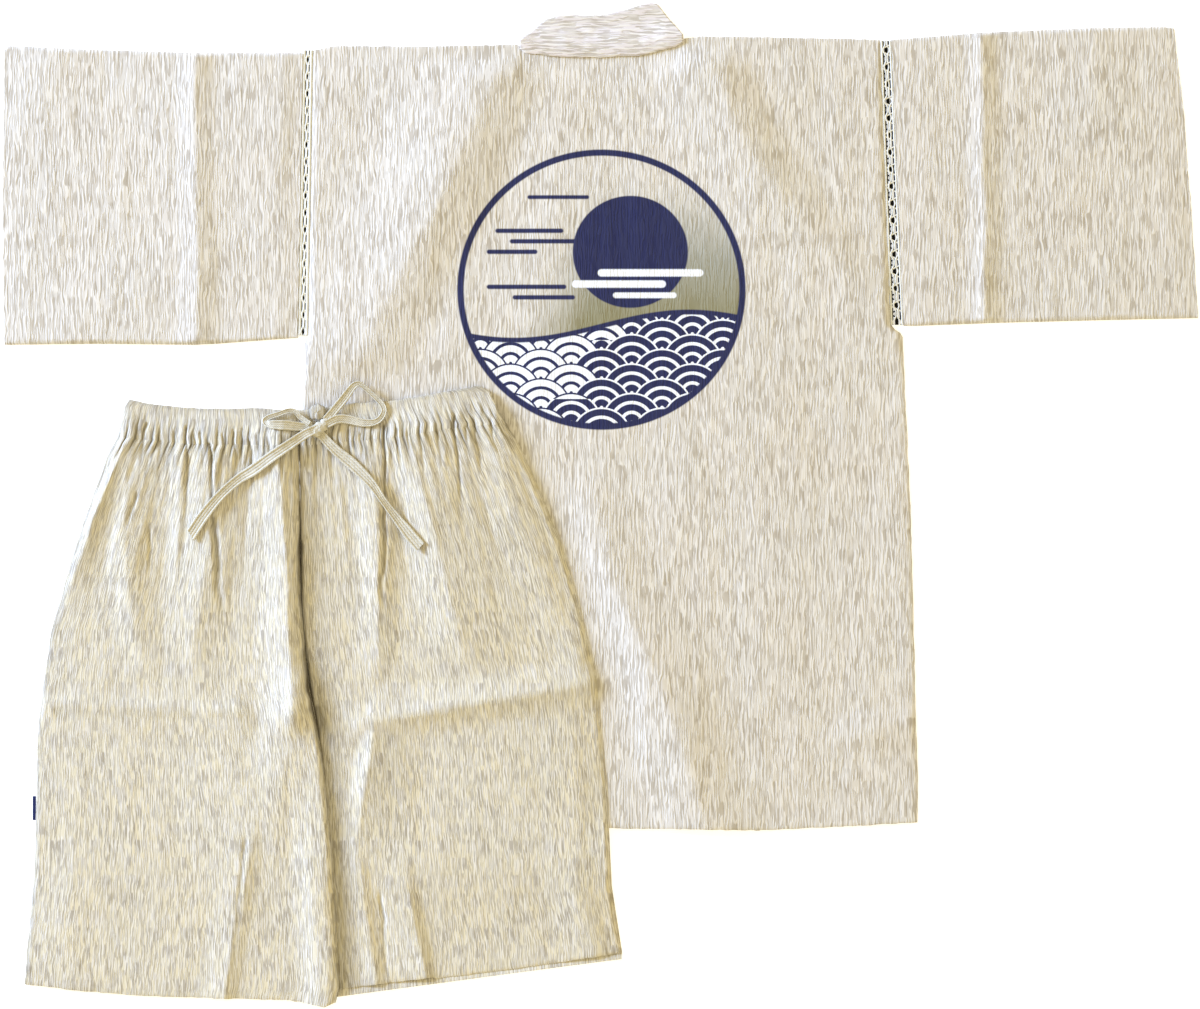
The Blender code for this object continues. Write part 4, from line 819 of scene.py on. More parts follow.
LEG_LEFT = Panel(OUTER_LEFT, shifted(INNER_LEFT, -SEAM_GAP), CASING_SEAM, HEM_LEFT)
LEG_RIGHT = Panel(INNER_RIGHT, shifted(OUTER_RIGHT, -1.5), CASING_SEAM, HEM_RIGHT)
LEFT = Leg("left", LEG_LEFT,
           Panel(shifted(OUTER_LEFT, 0.8), LEG_LEFT.right, CASING_SEAM, shifted(HEM_LEFT, 1.5)),
           LEG_LEFT_FOLDS, LEFT_GATHERS, left_leg_lift)
RIGHT = Leg("right", LEG_RIGHT, Panel(INNER_RIGHT, OUTER_RIGHT, CASING_SEAM, HEM_RIGHT_BACK),
            LEG_RIGHT_FOLDS, RIGHT_GATHERS, lambda x, y: np.zeros(np.shape(x)))


# ---- meshes -------------------------------------------------------------------------------------
def grid_quads(rows, columns, ring=False):
    """Corners of the faces between the rows of a grid; a ring also closes each row."""
    across = columns if ring else columns - 1
    row, column = np.meshgrid(np.arange(rows - 1), np.arange(across), indexing="ij")
    after = (column + 1) % columns
    a = row * columns + column
    b = row * columns + after
    return np.stack([a, b, b + columns, a + columns], axis=-1).reshape(-1, 4)


def add_piece(name, points, faces, flat, material, dark=None):
    """A smooth mesh in metres from places in millimetres, with its flat cloth places as a UV map.

    The attribute crease holds painted shade: 0 in the open and 1 where the shade painted deep in a crease
    is full.
    """
    mesh = bpy.data.meshes.new(name)
    mesh.from_pydata((np.asarray(points) * MM).tolist(), [], [list(map(int, face)) for face in faces])
    corners = np.empty(len(mesh.loops), np.int32)
    mesh.loops.foreach_get("vertex_index", corners)
    cloth = mesh.uv_layers.new(name="cloth")
    cloth.uv.foreach_set("vector", (np.asarray(flat) * MM)[corners].astype(np.float32).ravel())
    mesh.polygons.foreach_set("use_smooth", np.ones(len(mesh.polygons), bool))
    mesh.set_sharp_from_angle(angle=math.radians(48))
    held = mesh.attributes.new("crease", "FLOAT", "POINT")
    held.data.foreach_set("value", np.zeros(len(points), np.float32) if dark is None
                          else np.asarray(dark, np.float32).ravel())
    mesh.materials.append(material)
    piece = bpy.data.objects.new(name, mesh)
    bpy.context.scene.collection.objects.link(piece)
    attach(piece, BODY)
    return piece


def shell(name, x, y, under, over, flat, material, slot, dark=None):
    """A closed cloth wall: one grid of places at two heights, joined by a rim round its edge."""
    rows, columns = x.shape
    count = rows * columns
    points = np.concatenate([np.stack([x, y, z], axis=-1).reshape(-1, 3) for z in (under, over)])
    sheet = grid_quads(rows, columns)
    index = np.arange(count).reshape(rows, columns)
    rim = np.concatenate([index[0], index[1:, -1], index[-1, ::-1][1:], index[1:-1, 0][::-1]])
    after = np.roll(rim, -1)
    sides = np.stack([rim, after, after + count, rim + count], axis=-1)
    faces = np.concatenate([sheet + count, sheet[:, ::-1], sides])
    flat_places = np.stack(flat, axis=-1).reshape(-1, 2)
    both = None if dark is None else np.concatenate([dark.ravel(), dark.ravel()])
    return add_piece(name, points, faces, np.concatenate([flat_places] * 2), material, both)


def rolled(panel, x, y, wall, hem=True, joined=""):
    """Thickness of a panel: its wall, more over the turned-up hem, and less at its very edges.

    An edge that is joined to the next panel, the top or the bottom one, stays full.
    """
    height = np.full(np.shape(x), wall)
    if hem:
        height = height + HEM_RISE * soft_step((HEM_DEPTH - (y - read(panel.bottom, x))) / HEM_STEP)
    free = panel
    if joined == "top":
        free = panel._replace(top=shifted(panel.top, 10.0))
    if joined == "bottom":
        free = panel._replace(bottom=shifted(panel.bottom, -10.0))
    return height - EDGE_ROLL * (1.0 - edge_share(free, x, y, ROLL_RUN))


def plan_area(x, y):
    """Area of a grid of plan places in square metres: half of its faces' crossed diagonals."""
    ax, ay = x[1:, 1:] - x[:-1, :-1], y[1:, 1:] - y[:-1, :-1]
    bx, by = x[1:, :-1] - x[:-1, 1:], y[1:, :-1] - y[:-1, 1:]
    return float(np.abs(ax * by - ay * bx).sum() / 2 * MM * MM)


def lay_sheet(x, y, full=1.0):
    """Sheet sums of a panel: cut to its plan size, and fuller across by a share when gathered; see
    declare_sheet.
    """
    declare_sheet(float(np.ptp(x)) * full, float(np.ptp(y)), plan_area(x, y) * full)


def declare_sheet(width, length, area):
    """Turns a sheet's flat width and length in millimetres into metres and holds its cut area in square
    metres between a least share of their product and that product; nothing further is done with these.
    """
    width, length = width * MM, length * MM
    area = max(min(area, width * length), LEAST_AREA * width * length)


# ---- materials ----------------------------------------------------------------------------------
def opaque(value):
    """A colour of three parts gets its fourth, which is 1; any other value stays as it is."""
    return (*value, 1.0) if isinstance(value, tuple) and len(value) == 3 else value


class Wiring:
    """Places nodes in a tree and joins them; a number and a socket both do as an input."""

    def __init__(self, tree):
        self.tree = tree

    def node(self, kind, **choices):
        """A new node of a kind, its choices set by name."""
        made = self.tree.nodes.new(kind)
        for choice, value in choices.items():
            setattr(made, choice, value)
        return made

    def feed(self, socket, value):
        """Link a socket to another one, or set its number or colour."""
        if isinstance(value, bpy.types.NodeSocket):
            self.tree.links.new(value, socket)
        elif value is not None:
            socket.default_value = value

    def sum(self, operation, *values):
        """One step of arithmetic on numbers and sockets."""
        made = self.node("ShaderNodeMath", operation=operation)
        for socket, value in zip(made.inputs, values):
            self.feed(socket, value)
        return made.outputs[0]

    def times(self, a, b):
        """a times b."""
        return self.sum("MULTIPLY", a, b)

    def plus(self, a, b):
        """a + b."""
        return self.sum("ADD", a, b)

    def minus(self, a, b):
        """a - b."""
        return self.sum("SUBTRACT", a, b)

    def mix(self, share, low, high):
        """The low colour at a share of 0 and the high one at 1."""
        made = self.node("ShaderNodeMix", data_type="RGBA")
        self.feed(made.inputs[0], share)
        self.feed(made.inputs[6], opaque(low))
        self.feed(made.inputs[7], opaque(high))
        return made.outputs[2]

    def step(self, value, start, end, low=0.0, high=1.0):
        """Low up to the start, high from the end on, and a soft step between."""
        made = self.node("ShaderNodeMapRange", interpolation_type="SMOOTHSTEP")
        for socket, given in zip(made.inputs, (value, start, end, low, high)):
            self.feed(socket, given)
        return made.outputs[0]

    def scaled(self, vector, scale, shift=(0.0, 0.0, 0.0)):
        """A place times a scale, then shifted."""
        made = self.node("ShaderNodeMapping")
        self.feed(made.inputs["Vector"], vector)
        made.inputs["Location"].default_value = shift
        self.feed(made.inputs["Scale"], scale)
        return made.outputs[0]

    def noise(self, vector, detail, roughness=0.5):
        """Uneven values round 0.5, one hill to a unit."""
        made = self.node("ShaderNodeTexNoise", noise_dimensions="3D")
        self.feed(made.inputs["Vector"], vector)
        made.inputs["Scale"].default_value = 1.0
        made.inputs["Detail"].default_value = detail
        made.inputs["Roughness"].default_value = roughness
        return made.outputs["Fac"]


def make_group(name, inputs, outputs):
    """A shader node group with named sockets; gives its wiring and its two end nodes."""
    tree = bpy.data.node_groups.new(name, "ShaderNodeTree")
    for label, kind, default in inputs:
        socket = tree.interface.new_socket(label, in_out="INPUT", socket_type=kind)
        if default is not None:
            socket.default_value = default
    for label, kind in outputs:
        tree.interface.new_socket(label, in_out="OUTPUT", socket_type=kind)
    wires = Wiring(tree)
    return wires, wires.node("NodeGroupInput").outputs, wires.node("NodeGroupOutput").inputs


def crinkle_group():
    """Crinkled cotton: thin dark dashes along the grain with pale painted highlights between, in slow
    patches.

    A dash stands where a noise, stretched along the grain, passes a threshold. Two sets of dark
    dashes are joined, a pale painted highlight beside each of the first set on the crinkle's lit
    flank, and slow noises weaken them in patches. The dark dashes are greige streaks of the weave
    and partly painted shade of the crinkle's grooves.
    """
    wires, given, out = make_group(
        "crinkled_weave",
        [("Vector", "NodeSocketVector", None), ("Ground", "NodeSocketColor", None),
         ("Streak", "NodeSocketColor", None), ("Crest", "NodeSocketColor", None),
         ("Deep", "NodeSocketColor", None), ("Crease", "NodeSocketFloat", 0.0),
         ("Across", "NodeSocketFloat", 330.0), ("Along", "NodeSocketFloat", 42.0),
         ("Amount", "NodeSocketFloat", 0.74)],
        [("Color", "NodeSocketColor"), ("Height", "NodeSocketFloat")])
    place = given["Vector"]
    sway = wires.minus(wires.noise(wires.scaled(place, SWAY_SCALE), 1.0), 0.5)
    parts = wires.node("ShaderNodeSeparateXYZ")
    wires.feed(parts.inputs[0], place)
    x = wires.sum("MULTIPLY_ADD", sway, SWAY, parts.outputs[0])

    def dashes(kind, low=0.0, high=1.0):
        """Where a noise, stretched along the grain, passes the threshold of its kind."""
        joined = wires.node("ShaderNodeCombineXYZ")
        moved, across = wires.plus(x, kind.aside), wires.times(given["Across"], kind.across)
        wires.feed(joined.inputs[0], wires.times(moved, across))
        wires.feed(joined.inputs[1], wires.times(parts.outputs[1], wires.times(given["Along"], kind.along)))
        wires.feed(joined.inputs[2], kind.layer)
        return wires.step(wires.noise(joined.outputs[0], kind.detail), kind.start, kind.full, low, high)

    patch = wires.noise(wires.scaled(place, PATCH_SCALE, PATCH_SHIFT), 2.0)
    strength = wires.times(dashes(UNEVEN, 0.45, 1.0), wires.step(patch, 0.30, 0.62, 0.68, 1.0))
    lines = wires.sum("MAXIMUM", dashes(COARSE), wires.times(dashes(FINE), 0.8))
    dash = wires.times(wires.times(lines, strength), given["Amount"])
    # painted highlight: pale dashes on the crinkle's lit flanks and crests
    crest = wires.times(wires.sum("MAXIMUM", dashes(LIT_FLANK_HIGHLIGHT), dashes(CREST_HIGHLIGHT)), 0.75)
    hue = wires.noise(wires.scaled(place, HUE_SCALE, HUE_SHIFT), 2.0)
    ground = wires.mix(wires.step(hue, 0.35, 0.65, 0.0, 0.12), given["Ground"], COOL_YARN)
    colour = wires.mix(dash, wires.mix(crest, ground, given["Crest"]), given["Streak"])
    # painted shade: the crease attribute mixes the shade colour into the cloth's colour
    wires.feed(out["Color"], wires.mix(given["Crease"], colour, given["Deep"]))
    wires.feed(out["Height"], wires.minus(wires.times(crest, 0.6), lines))
    return wires.tree


def weave_group():
    """Plain weave: the product of two pointed waves, one across and one along, as threads."""
    wires, given, out = make_group(
        "plain_weave",
        [("Vector", "NodeSocketVector", None), ("Thread", "NodeSocketColor", None),
         ("Gap", "NodeSocketColor", None), ("Threads", "NodeSocketFloat", 1400.0)],
        [("Color", "NodeSocketColor"), ("Height", "NodeSocketFloat")])
    parts = wires.node("ShaderNodeSeparateXYZ")
    wires.feed(parts.inputs[0], given["Vector"])
    waves = [wires.sum("SINE", wires.times(parts.outputs[way], wires.times(given["Threads"], 3.1416)))
             for way in (0, 1)]
    woven = wires.sum("MULTIPLY_ADD", wires.times(waves[0], waves[1]), 0.5, 0.5)
    uneven = wires.noise(wires.scaled(given["Vector"], THREAD_SCALE), 3.0, 0.6)
    height = wires.sum("MULTIPLY_ADD", uneven, 0.6, wires.times(woven, 0.4))
    wires.feed(out["Color"], wires.mix(wires.step(height, 0.30, 0.62), given["Gap"], given["Thread"]))
    wires.feed(out["Height"], height)
    return wires.tree


def moon_and_waves_group():
    """Round print: a ring, a plain moon behind bars of mist, and rows of overlapping waves.

    Places are measured from the print's middle in shares of its radius. Waves are rows of circles
    half a radius apart, every second row moved aside by a radius; the lowest row that holds a
    place draws it, as rings round its own middle.
    """
    wires, given, out = make_group(
        "moon_and_waves",
        [("Vector", "NodeSocketVector", None), ("Cloth", "NodeSocketColor", None),
         ("Ink", "NodeSocketColor", None), ("Bare", "NodeSocketColor", None),
         ("Olive high", "NodeSocketColor", None), ("Olive low", "NodeSocketColor", None)],
        [("Color", "NodeSocketColor"), ("Mask", "NodeSocketFloat")])
    parts = wires.node("ShaderNodeSeparateXYZ")
    wires.feed(parts.inputs[0], given["Vector"])
    x, y = parts.outputs[0], parts.outputs[1]

    def length(a, b):
        """Root of a squared plus b squared."""
        return wires.sum("SQRT", wires.sum("MULTIPLY_ADD", a, a, wires.times(b, b)))

    def inside(value, edge):
        """1 below the edge and 0 above it."""
        return wires.step(value, edge + PRINT_SOFT / 2, edge - PRINT_SOFT / 2)

    def bars(rows, colour, ink):
        """Level bars with round ends, drawn over a colour."""
        for row in rows:
            along = wires.minus(wires.sum("ABSOLUTE", wires.minus(x, row.x)), row.half)
            away = length(wires.sum("MAXIMUM", along, 0.0), wires.minus(y, row.y))
            colour = wires.mix(inside(away, row.thick), colour, ink)
        return colour

    def wave(row):
        """Distance from the nearest circle's middle in a row, and where that middle is."""
        aside = wires.sum("WRAP", wires.sum("MULTIPLY_ADD", row, WAVE_RADIUS, x), WAVE_RADIUS, -WAVE_RADIUS)
        up = wires.minus(y, wires.times(row, WAVE_RADIUS / 2))
        return length(aside, up), wires.sum("MULTIPLY_ADD", y, -0.5, wires.minus(x, aside))

    radius = length(x, y)
    first = wires.sum("CEIL", wires.sum("MULTIPLY_ADD", y, 2.0 / WAVE_RADIUS, -2.0))
    rows = [wave(wires.plus(first, above)) for above in (0.0, 1.0, 2.0)]
    nearest, middle = rows[2]
    for candidate, its_middle in (rows[1], rows[0]):
        held = wires.sum("LESS_THAN", candidate, WAVE_RADIUS)
        other = wires.minus(1.0, held)
        nearest = wires.sum("MULTIPLY_ADD", candidate, held, wires.times(nearest, other))
        middle = wires.sum("MULTIPLY_ADD", its_middle, held, wires.times(middle, other))
    ripple = wires.sum("PINGPONG", wires.sum("MULTIPLY_ADD", nearest, WAVE_RINGS / WAVE_RADIUS, 0.5), 0.5)
    line = wires.step(ripple, 0.30, 0.37)
    shore = wires.sum("MULTIPLY_ADD", wires.sum("SINE", wires.times(x, SHORE.bends)), SHORE.rise, SHORE.y)
    over_shore = wires.minus(y, shore)
    sea = wires.step(over_shore, PRINT_SOFT, -PRINT_SOFT)
    shore_line = inside(wires.sum("ABSOLUTE", over_shore), SHORE.thick)
    deep = wires.sum("GREATER_THAN", middle, DEEP_FROM)

    moon = inside(length(wires.minus(x, MOON.x), wires.minus(y, MOON.y)), MOON.radius)
    aslant = wires.sum("MULTIPLY_ADD", y, -0.35, x)
    olive = wires.times(wires.step(aslant, -0.50, 0.02), wires.step(y, 0.86, 0.15))
    ground = wires.mix(wires.times(olive, 0.86), given["Cloth"],
                       wires.mix(wires.step(y, 0.35, -0.30), given["Olive high"], given["Olive low"]))
    colour = wires.mix(moon, ground, given["Ink"])
    colour = bars(MIST_PALE, colour, given["Bare"])
    colour = bars(MIST_INK, colour, given["Ink"])
    pale_waves = wires.mix(line, given["Bare"], given["Ink"])
    deep_waves = wires.mix(line, given["Ink"], given["Bare"])
    colour = wires.mix(sea, colour, wires.mix(deep, pale_waves, deep_waves))
    colour = wires.mix(shore_line, colour, given["Ink"])
    ring = wires.step(radius, RING_INSIDE - PRINT_SOFT / 2, RING_INSIDE + PRINT_SOFT / 2)
    wires.feed(out["Color"], wires.mix(ring, colour, given["Ink"]))
    wires.feed(out["Mask"], inside(radius, 1.0))
    return wires.tree


def start_material(name):
    """An empty material with its Principled BSDF and the place on the flat cloth."""
    material = bpy.data.materials.new(name)
    material.use_nodes = True
    wires = Wiring(material.node_tree)
    shader = material.node_tree.nodes["Principled BSDF"]
    flat = wires.node("ShaderNodeUVMap", uv_map="cloth").outputs[0]
    return material, wires, shader, flat


def put_group(wires, tree, **values):
    """A node group in a material, its inputs fed by name."""
    made = wires.node("ShaderNodeGroup", node_tree=tree)
    for label, value in values.items():
        wires.feed(made.inputs[label.replace("_", " ")], opaque(value))
    return made.outputs


def raise_surface(wires, shader, height, depth):
    """Feed a height through a bump of a given depth in metres to the shader's normal."""
    bump = wires.node("ShaderNodeBump")
    bump.inputs["Strength"].default_value = 1.0
    bump.inputs["Distance"].default_value = depth
    wires.feed(bump.inputs["Height"], height)
    wires.feed(shader.inputs["Normal"], bump.outputs[0])


def finish_cotton(shader, roughness=0.9):
    """Numbers that are the same all over a cotton surface."""
    for label, value in (("Roughness", roughness), ("Specular IOR Level", 0.12), ("Sheen Weight", 0.04),
                         ("Sheen Roughness", 0.5)):
        shader.inputs[label].default_value = value


def crinkled_cotton(name, tree, ground, grain=(1.0, 1.0), streak=None, crest=None):
    """Crinkled cotton in one ground colour; the grain stretches its streaks across and along."""
    cloth = settings("cloth")
    _, wires, shader, flat = start_material(name)
    # the crease attribute holds the shade painted into creases, gather valleys and seams
    held = wires.node("ShaderNodeAttribute", attribute_name="crease").outputs["Fac"]
    made = put_group(wires, tree, Vector=flat, Ground=tuple(ground), Streak=tuple(streak or cloth.streak),
                     Crest=tuple(crest or cloth.crest), Deep=tuple(cloth.crease), Crease=held,
                     Across=grain[0] / cloth.streak_width, Along=grain[1] / cloth.streak_length)
    wires.feed(shader.inputs["Base Color"], made["Color"])
    raise_surface(wires, shader, made["Height"], cloth.crinkle)
    finish_cotton(shader)
    return wires, shader, made


def printed_cotton(name, weave, moon):
    """The back's cotton with the round print dyed into it: the ink follows the streaks faintly."""
    cloth, ink = settings("cloth"), settings("print")
    wires, shader, made = crinkled_cotton(name, weave, cloth.ground)
    place = wires.node("ShaderNodeTexCoord").outputs["Object"]
    half_x, half_y = ink.radius, ink.radius * PRINT_SQUASH
    shares = wires.scaled(place, (1 / half_x, 1 / half_y, 1.0),
                          (-PRINT_MIDDLE[0] / half_x, -PRINT_MIDDLE[1] / half_y, 0.0))
    drawn = put_group(wires, moon, Vector=shares, Cloth=made["Color"], Ink=tuple(ink.ink),
                      Bare=tuple(ink.bare), Olive_high=tuple(ink.olive_high),
                      Olive_low=tuple(ink.olive_low))
    worn = wires.mix(PRINT_WORN, drawn["Color"], made["Color"])
    wires.feed(shader.inputs["Base Color"], wires.mix(drawn["Mask"], made["Color"], worn))


def woven_material(name, tree, thread, gap, threads, depth):
    """A plain woven or twisted thread surface; the gaps between threads are darker by a share."""
    _, wires, shader, flat = start_material(name)
    made = put_group(wires, tree, Vector=flat, Thread=tuple(thread), Gap=darker(thread, gap),
                     Threads=threads)
    wires.feed(shader.inputs["Base Color"], made["Color"])
    raise_surface(wires, shader, made["Height"], depth)
    finish_cotton(shader, 0.85)


def darker(colour, share):
    """A colour times a share."""
    return tuple(part * share for part in colour)


def make_materials():
    """Every finish of the set, by name."""
    cloth, trim = settings("cloth"), settings("trim")
    weave, plain, moon = crinkle_group(), weave_group(), moon_and_waves_group()
    crinkled_cotton("jacket_cotton", weave, cloth.ground)
    crinkled_cotton("shorts_cotton", weave, cloth.shorts, grain=(1.75, 1.2),
                    streak=darker(cloth.streak, 0.8), crest=darker(cloth.crest, 0.93))
    crinkled_cotton("collar_band_cotton", weave, cloth.collar)
    printed_cotton("printed_cotton", weave, moon)
    for name, thread, gap, threads, depth in (
            ("openwork_thread", trim.lace, 0.75, 1500.0, 0.0003),
            ("openwork_painted_shade", trim.lace_painted_shade, 0.5, 1500.0, 0.0003),
            ("drawstring_cotton", trim.tape, 0.62, 900.0, 0.0005),
            ("tab_twill", trim.tab, 0.5, 1600.0, 0.0002)):
        woven_material(name, plain, thread, gap, threads, depth)


def finish(name):
    """A finish by name, made with all the others the first time one is asked for."""
    if name not in bpy.data.materials:
        make_materials()
    return bpy.data.materials[name]


# ---- drawstring ---------------------------------------------------------------------------------
def smooth_route(stops, steps):
    """A smooth curve through the stops (Catmull-Rom), with a set number of places a stretch."""
    table = np.array(stops, float)
    padded = np.vstack([2 * table[0] - table[1], table, 2 * table[-1] - table[-2]])
    t = np.linspace(0, 1, steps, endpoint=False)[:, None]
    pieces = []
    for a, b, c, d in zip(padded, padded[1:], padded[2:], padded[3:]):
        pieces.append(0.5 * (2 * b + (c - a) * t + (2 * a - 5 * b + 4 * c - d) * t ** 2
                             + (3 * b - a - 3 * c + d) * t ** 3))
    return np.vstack(pieces + [table[-1:]])


def bed_height(x, y, reach=TAPE_REACH):
    """Level on which a tape lies: the highest of the front near each place."""
    near = np.linspace(-reach, reach, 5)
    return np.max([front_top(x + dx, y + dy) for dx in near for dy in near], axis=0)


def tube_faces(rings, around, inward=False):
    """Faces of a closed tube of rings, its two ends closed by one face each."""
    faces = [list(face) for face in grid_quads(rings, around, ring=True)]
    faces += [list(range(around))[::-1], list(range((rings - 1) * around, rings * around))]
    return [face[::-1] for face in faces] if inward else faces


def runs_along(places):
    """How far along a line each of its places is."""
    return np.concatenate([[0.0], np.cumsum(np.linalg.norm(np.diff(places, axis=0), axis=1))])


def heading(places):
    """Direction of a line at each of its places in the plan."""
    ahead = np.gradient(places, axis=0)
    return ahead / np.maximum(np.linalg.norm(ahead, axis=1), 1e-9)[:, None]


def add_tape(name, stops, slant):
    """A flat tape: its section carried along its route, tilted a little to and fro, ends closed.

    The last rings lean by the slant times the place across, so that the cut end is askew.
    """
    x, y, width, lift = smooth_route(stops, TAPE_STEPS).T
    bed = bed_height(x, y)
    for _ in range(TAPE_SMOOTHING):
        wide = np.concatenate([bed[:1], bed, bed[-1:]])
        bed = np.maximum(bed, (wide[:-2] + wide[2:]) / 2)
    z = bed + lift + TAPE_CLEARANCE + TAPE_THICKNESS / 2
    ahead = heading(np.stack([x, y], axis=-1))
    run = runs_along(np.stack([x, y, z], axis=-1))
    across, high = np.array(TAPE_SECTION).T
    aside = across[None, :] * width[:, None] / 2
    tilt = TAPE_TILT * swing(run, 31.0, 77)[:, None]
    thick = TAPE_THICKNESS / 2 * (1.0 - TAPE_THIN + TAPE_THIN * swing(run, 9.0, 78))[:, None]
    lean = slant * aside * soft_step((run - run[-1] + TAPE_END) / TAPE_END)[:, None]
    points = np.stack([x[:, None] + aside * ahead[:, 1:2] + lean * ahead[:, 0:1],
                       y[:, None] - aside * ahead[:, 0:1] + lean * ahead[:, 1:2],
                       z[:, None] + high[None, :] * thick + np.maximum(aside * tilt, 0.0)], axis=-1)
    flat = np.stack([np.broadcast_to(run[:, None], aside.shape), aside], axis=-1).reshape(-1, 2)
    tape = add_piece(name + "_tape", points.reshape(-1, 3), tube_faces(*aside.shape), flat,
                     finish("drawstring_cotton"))
    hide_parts(name)
    return tape


def add_ball(name, balls, material, shade=0.0):
    """Balls in one piece: each radius swells and dips in soft ridges across its long axis.

    The share is 1 + 0.06 sin(ridges times 2 cos(lat) cos(lon) + 1) + 0.04 sin(5 lon + 3 lat).
    The shade is painted shade all over them, and more painted shade darkens their lower sides from there.
    """
    cx, cy = KNOT_PLACE
    base = float(bed_height(np.array([cx]), np.array([cy]), KNOT_REACH)[0])
    points, faces, flat = [], [], []
    lat, lon = np.meshgrid(np.linspace(-math.pi / 2, math.pi / 2, 26),
                           np.linspace(0, 2 * math.pi, 44, endpoint=False), indexing="ij")
    east, north = np.cos(lat) * np.cos(lon), np.cos(lat) * np.sin(lon)
    for place, ball in enumerate(balls):
        swell = 1.0 + 0.06 * np.cos(lat) * np.sin(ball.ridges * 2 * east + 1.0)
        swell = swell + 0.04 * np.sin(5 * lon + 3 * lat) * np.cos(lat)
        px, py = ball.rx * east * swell, ball.ry * north * swell
        pz = ball.rz * np.sin(lat) * (1.0 + 0.05 * np.sin(3 * lon)) * swell
        cos, sin = math.cos(ball.turn), math.sin(ball.turn)
        points.append(np.stack([cx + ball.x + px * cos - py * sin, cy + ball.y + px * sin + py * cos,
                                base + ball.z + pz], axis=-1).reshape(-1, 3))
        faces.append(grid_quads(*lat.shape, ring=True) + place * lat.size)
        flat.append(np.stack([px * 1.3, py * 1.3], axis=-1).reshape(-1, 2))
    # painted shade: even over the top, deeper down the lower sides where shade falls
    dark = shade + 0.7 * (1.0 - np.clip(np.sin(lat) + 0.15, 0.0, 1.0)) ** 2
    piece = add_piece(name, np.concatenate(points), np.concatenate(faces), np.concatenate(flat),
                      material, np.tile(np.clip(dark, 0.0, 1.0).ravel(), len(balls)))
    merge_poles(piece)
    return piece


def merge_poles(piece):
    """Merge the places that meet at the poles of a ball and drop the faces that lose their width."""
    work = bmesh.new()
    work.from_mesh(piece.data)
    bmesh.ops.remove_doubles(work, verts=work.verts, dist=1e-6)
    bmesh.ops.dissolve_degenerate(work, edges=work.edges, dist=1e-7)
    bmesh.ops.recalc_face_normals(work, faces=work.faces)
    work.to_mesh(piece.data)
    work.free()


# ---- operators ----------------------------------------------------------------------------------
class JINBEI_OT_stage(bpy.types.Operator):
    """Camera straight over the set, cool and warm light from its two sides, and a plain floor"""
    bl_idname = "jinbei.stage"
    bl_label = "Stage"

    def execute(self, context):
        stage, scene = settings("stage"), context.scene
        camera = bpy.data.cameras.new("camera")
        camera.lens = 100.0
        camera.sensor_width = 36.0
        camera.dof.use_dof = False
        scene.camera = bpy.data.objects.new("camera", camera)
        scene.camera.location = (CAMERA_ASIDE, 0.0, stage.height)
        scene.collection.objects.link(scene.camera)
        scene.view_settings.view_transform = "Standard"
        key = bpy.data.lights.new("key_light", "AREA")
        key.shape = "DISK"
        key.size = KEY_SIZE
        warm = bpy.data.lights.new("warm_light", "SUN")
        warm.angle = math.radians(WARM_ANGLE)
        for light, place, colour, energy in ((key, KEY_PLACE, stage.key_colour, stage.key),
                                             (warm, WARM_PLACE, stage.warm_colour, stage.warm)):
            light.color = colour
            light.energy = energy
            lamp = bpy.data.objects.new(light.name, light)
            lamp.location = place
            lamp.rotation_euler = (-Vector(place)).to_track_quat("-Z", "Y").to_euler()
            lamp.visible_camera = False
            scene.collection.objects.link(lamp)
        scene.world = bpy.data.worlds.new("studio")
        scene.world.use_nodes = True
        background = scene.world.node_tree.nodes["Background"]
        background.inputs["Color"].default_value = (*stage.sky_colour, 1.0)
        background.inputs["Strength"].default_value = stage.sky
        add_floor(stage)
        return {"FINISHED"}


def add_floor(stage):
    """A square floor, painted plain with faint specks, that glows a little like a light table."""
    material, wires, shader, _ = start_material("floor_paint")
    place = wires.node("ShaderNodeTexCoord").outputs["Object"]
    speck = wires.noise(wires.scaled(place, FLOOR_SCALE), 2.0)
    paint = wires.mix(speck, darker(stage.floor, 0.995), tuple(stage.floor))
    wires.feed(shader.inputs["Base Color"], paint)
    shader.inputs["Roughness"].default_value = 0.9
    shader.inputs["Emission Color"].default_value = (1.0, 1.0, 1.0, 1.0)
    shader.inputs["Emission Strength"].default_value = stage.glow
    mesh = bpy.data.meshes.new("floor")
    corners = [(across * FLOOR_HALF, along * FLOOR_HALF, FLOOR_HEIGHT)
               for across, along in ((-1, -1), (1, -1), (1, 1), (-1, 1))]
    mesh.from_pydata(corners, [], [(0, 1, 2, 3)])
    mesh.materials.append(material)
    floor = bpy.data.objects.new("floor", mesh)
    bpy.context.scene.collection.objects.link(floor)


class JINBEI_OT_drawstring(bpy.types.Operator):
    """Drawstring of cotton tape: two free tails, two loops of the bow and the knot"""
    bl_idname = "jinbei.drawstring"
    bl_label = "Drawstring"

    def execute(self, context):
        knot = add_ball("drawstring_knot_tied", KNOT_BALLS, finish("drawstring_cotton"))
        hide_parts("drawstring_knot")
        add_tape("drawstring_tail_left", TAIL_LEFT, -0.5)
        add_tape("drawstring_tail_right", TAIL_RIGHT, 0.12)
        add_tape("drawstring_loop_right", LOOP_RIGHT, 0.0)
        add_tape("drawstring_loop_left", LOOP_LEFT, 0.0)
        return {"FINISHED"}


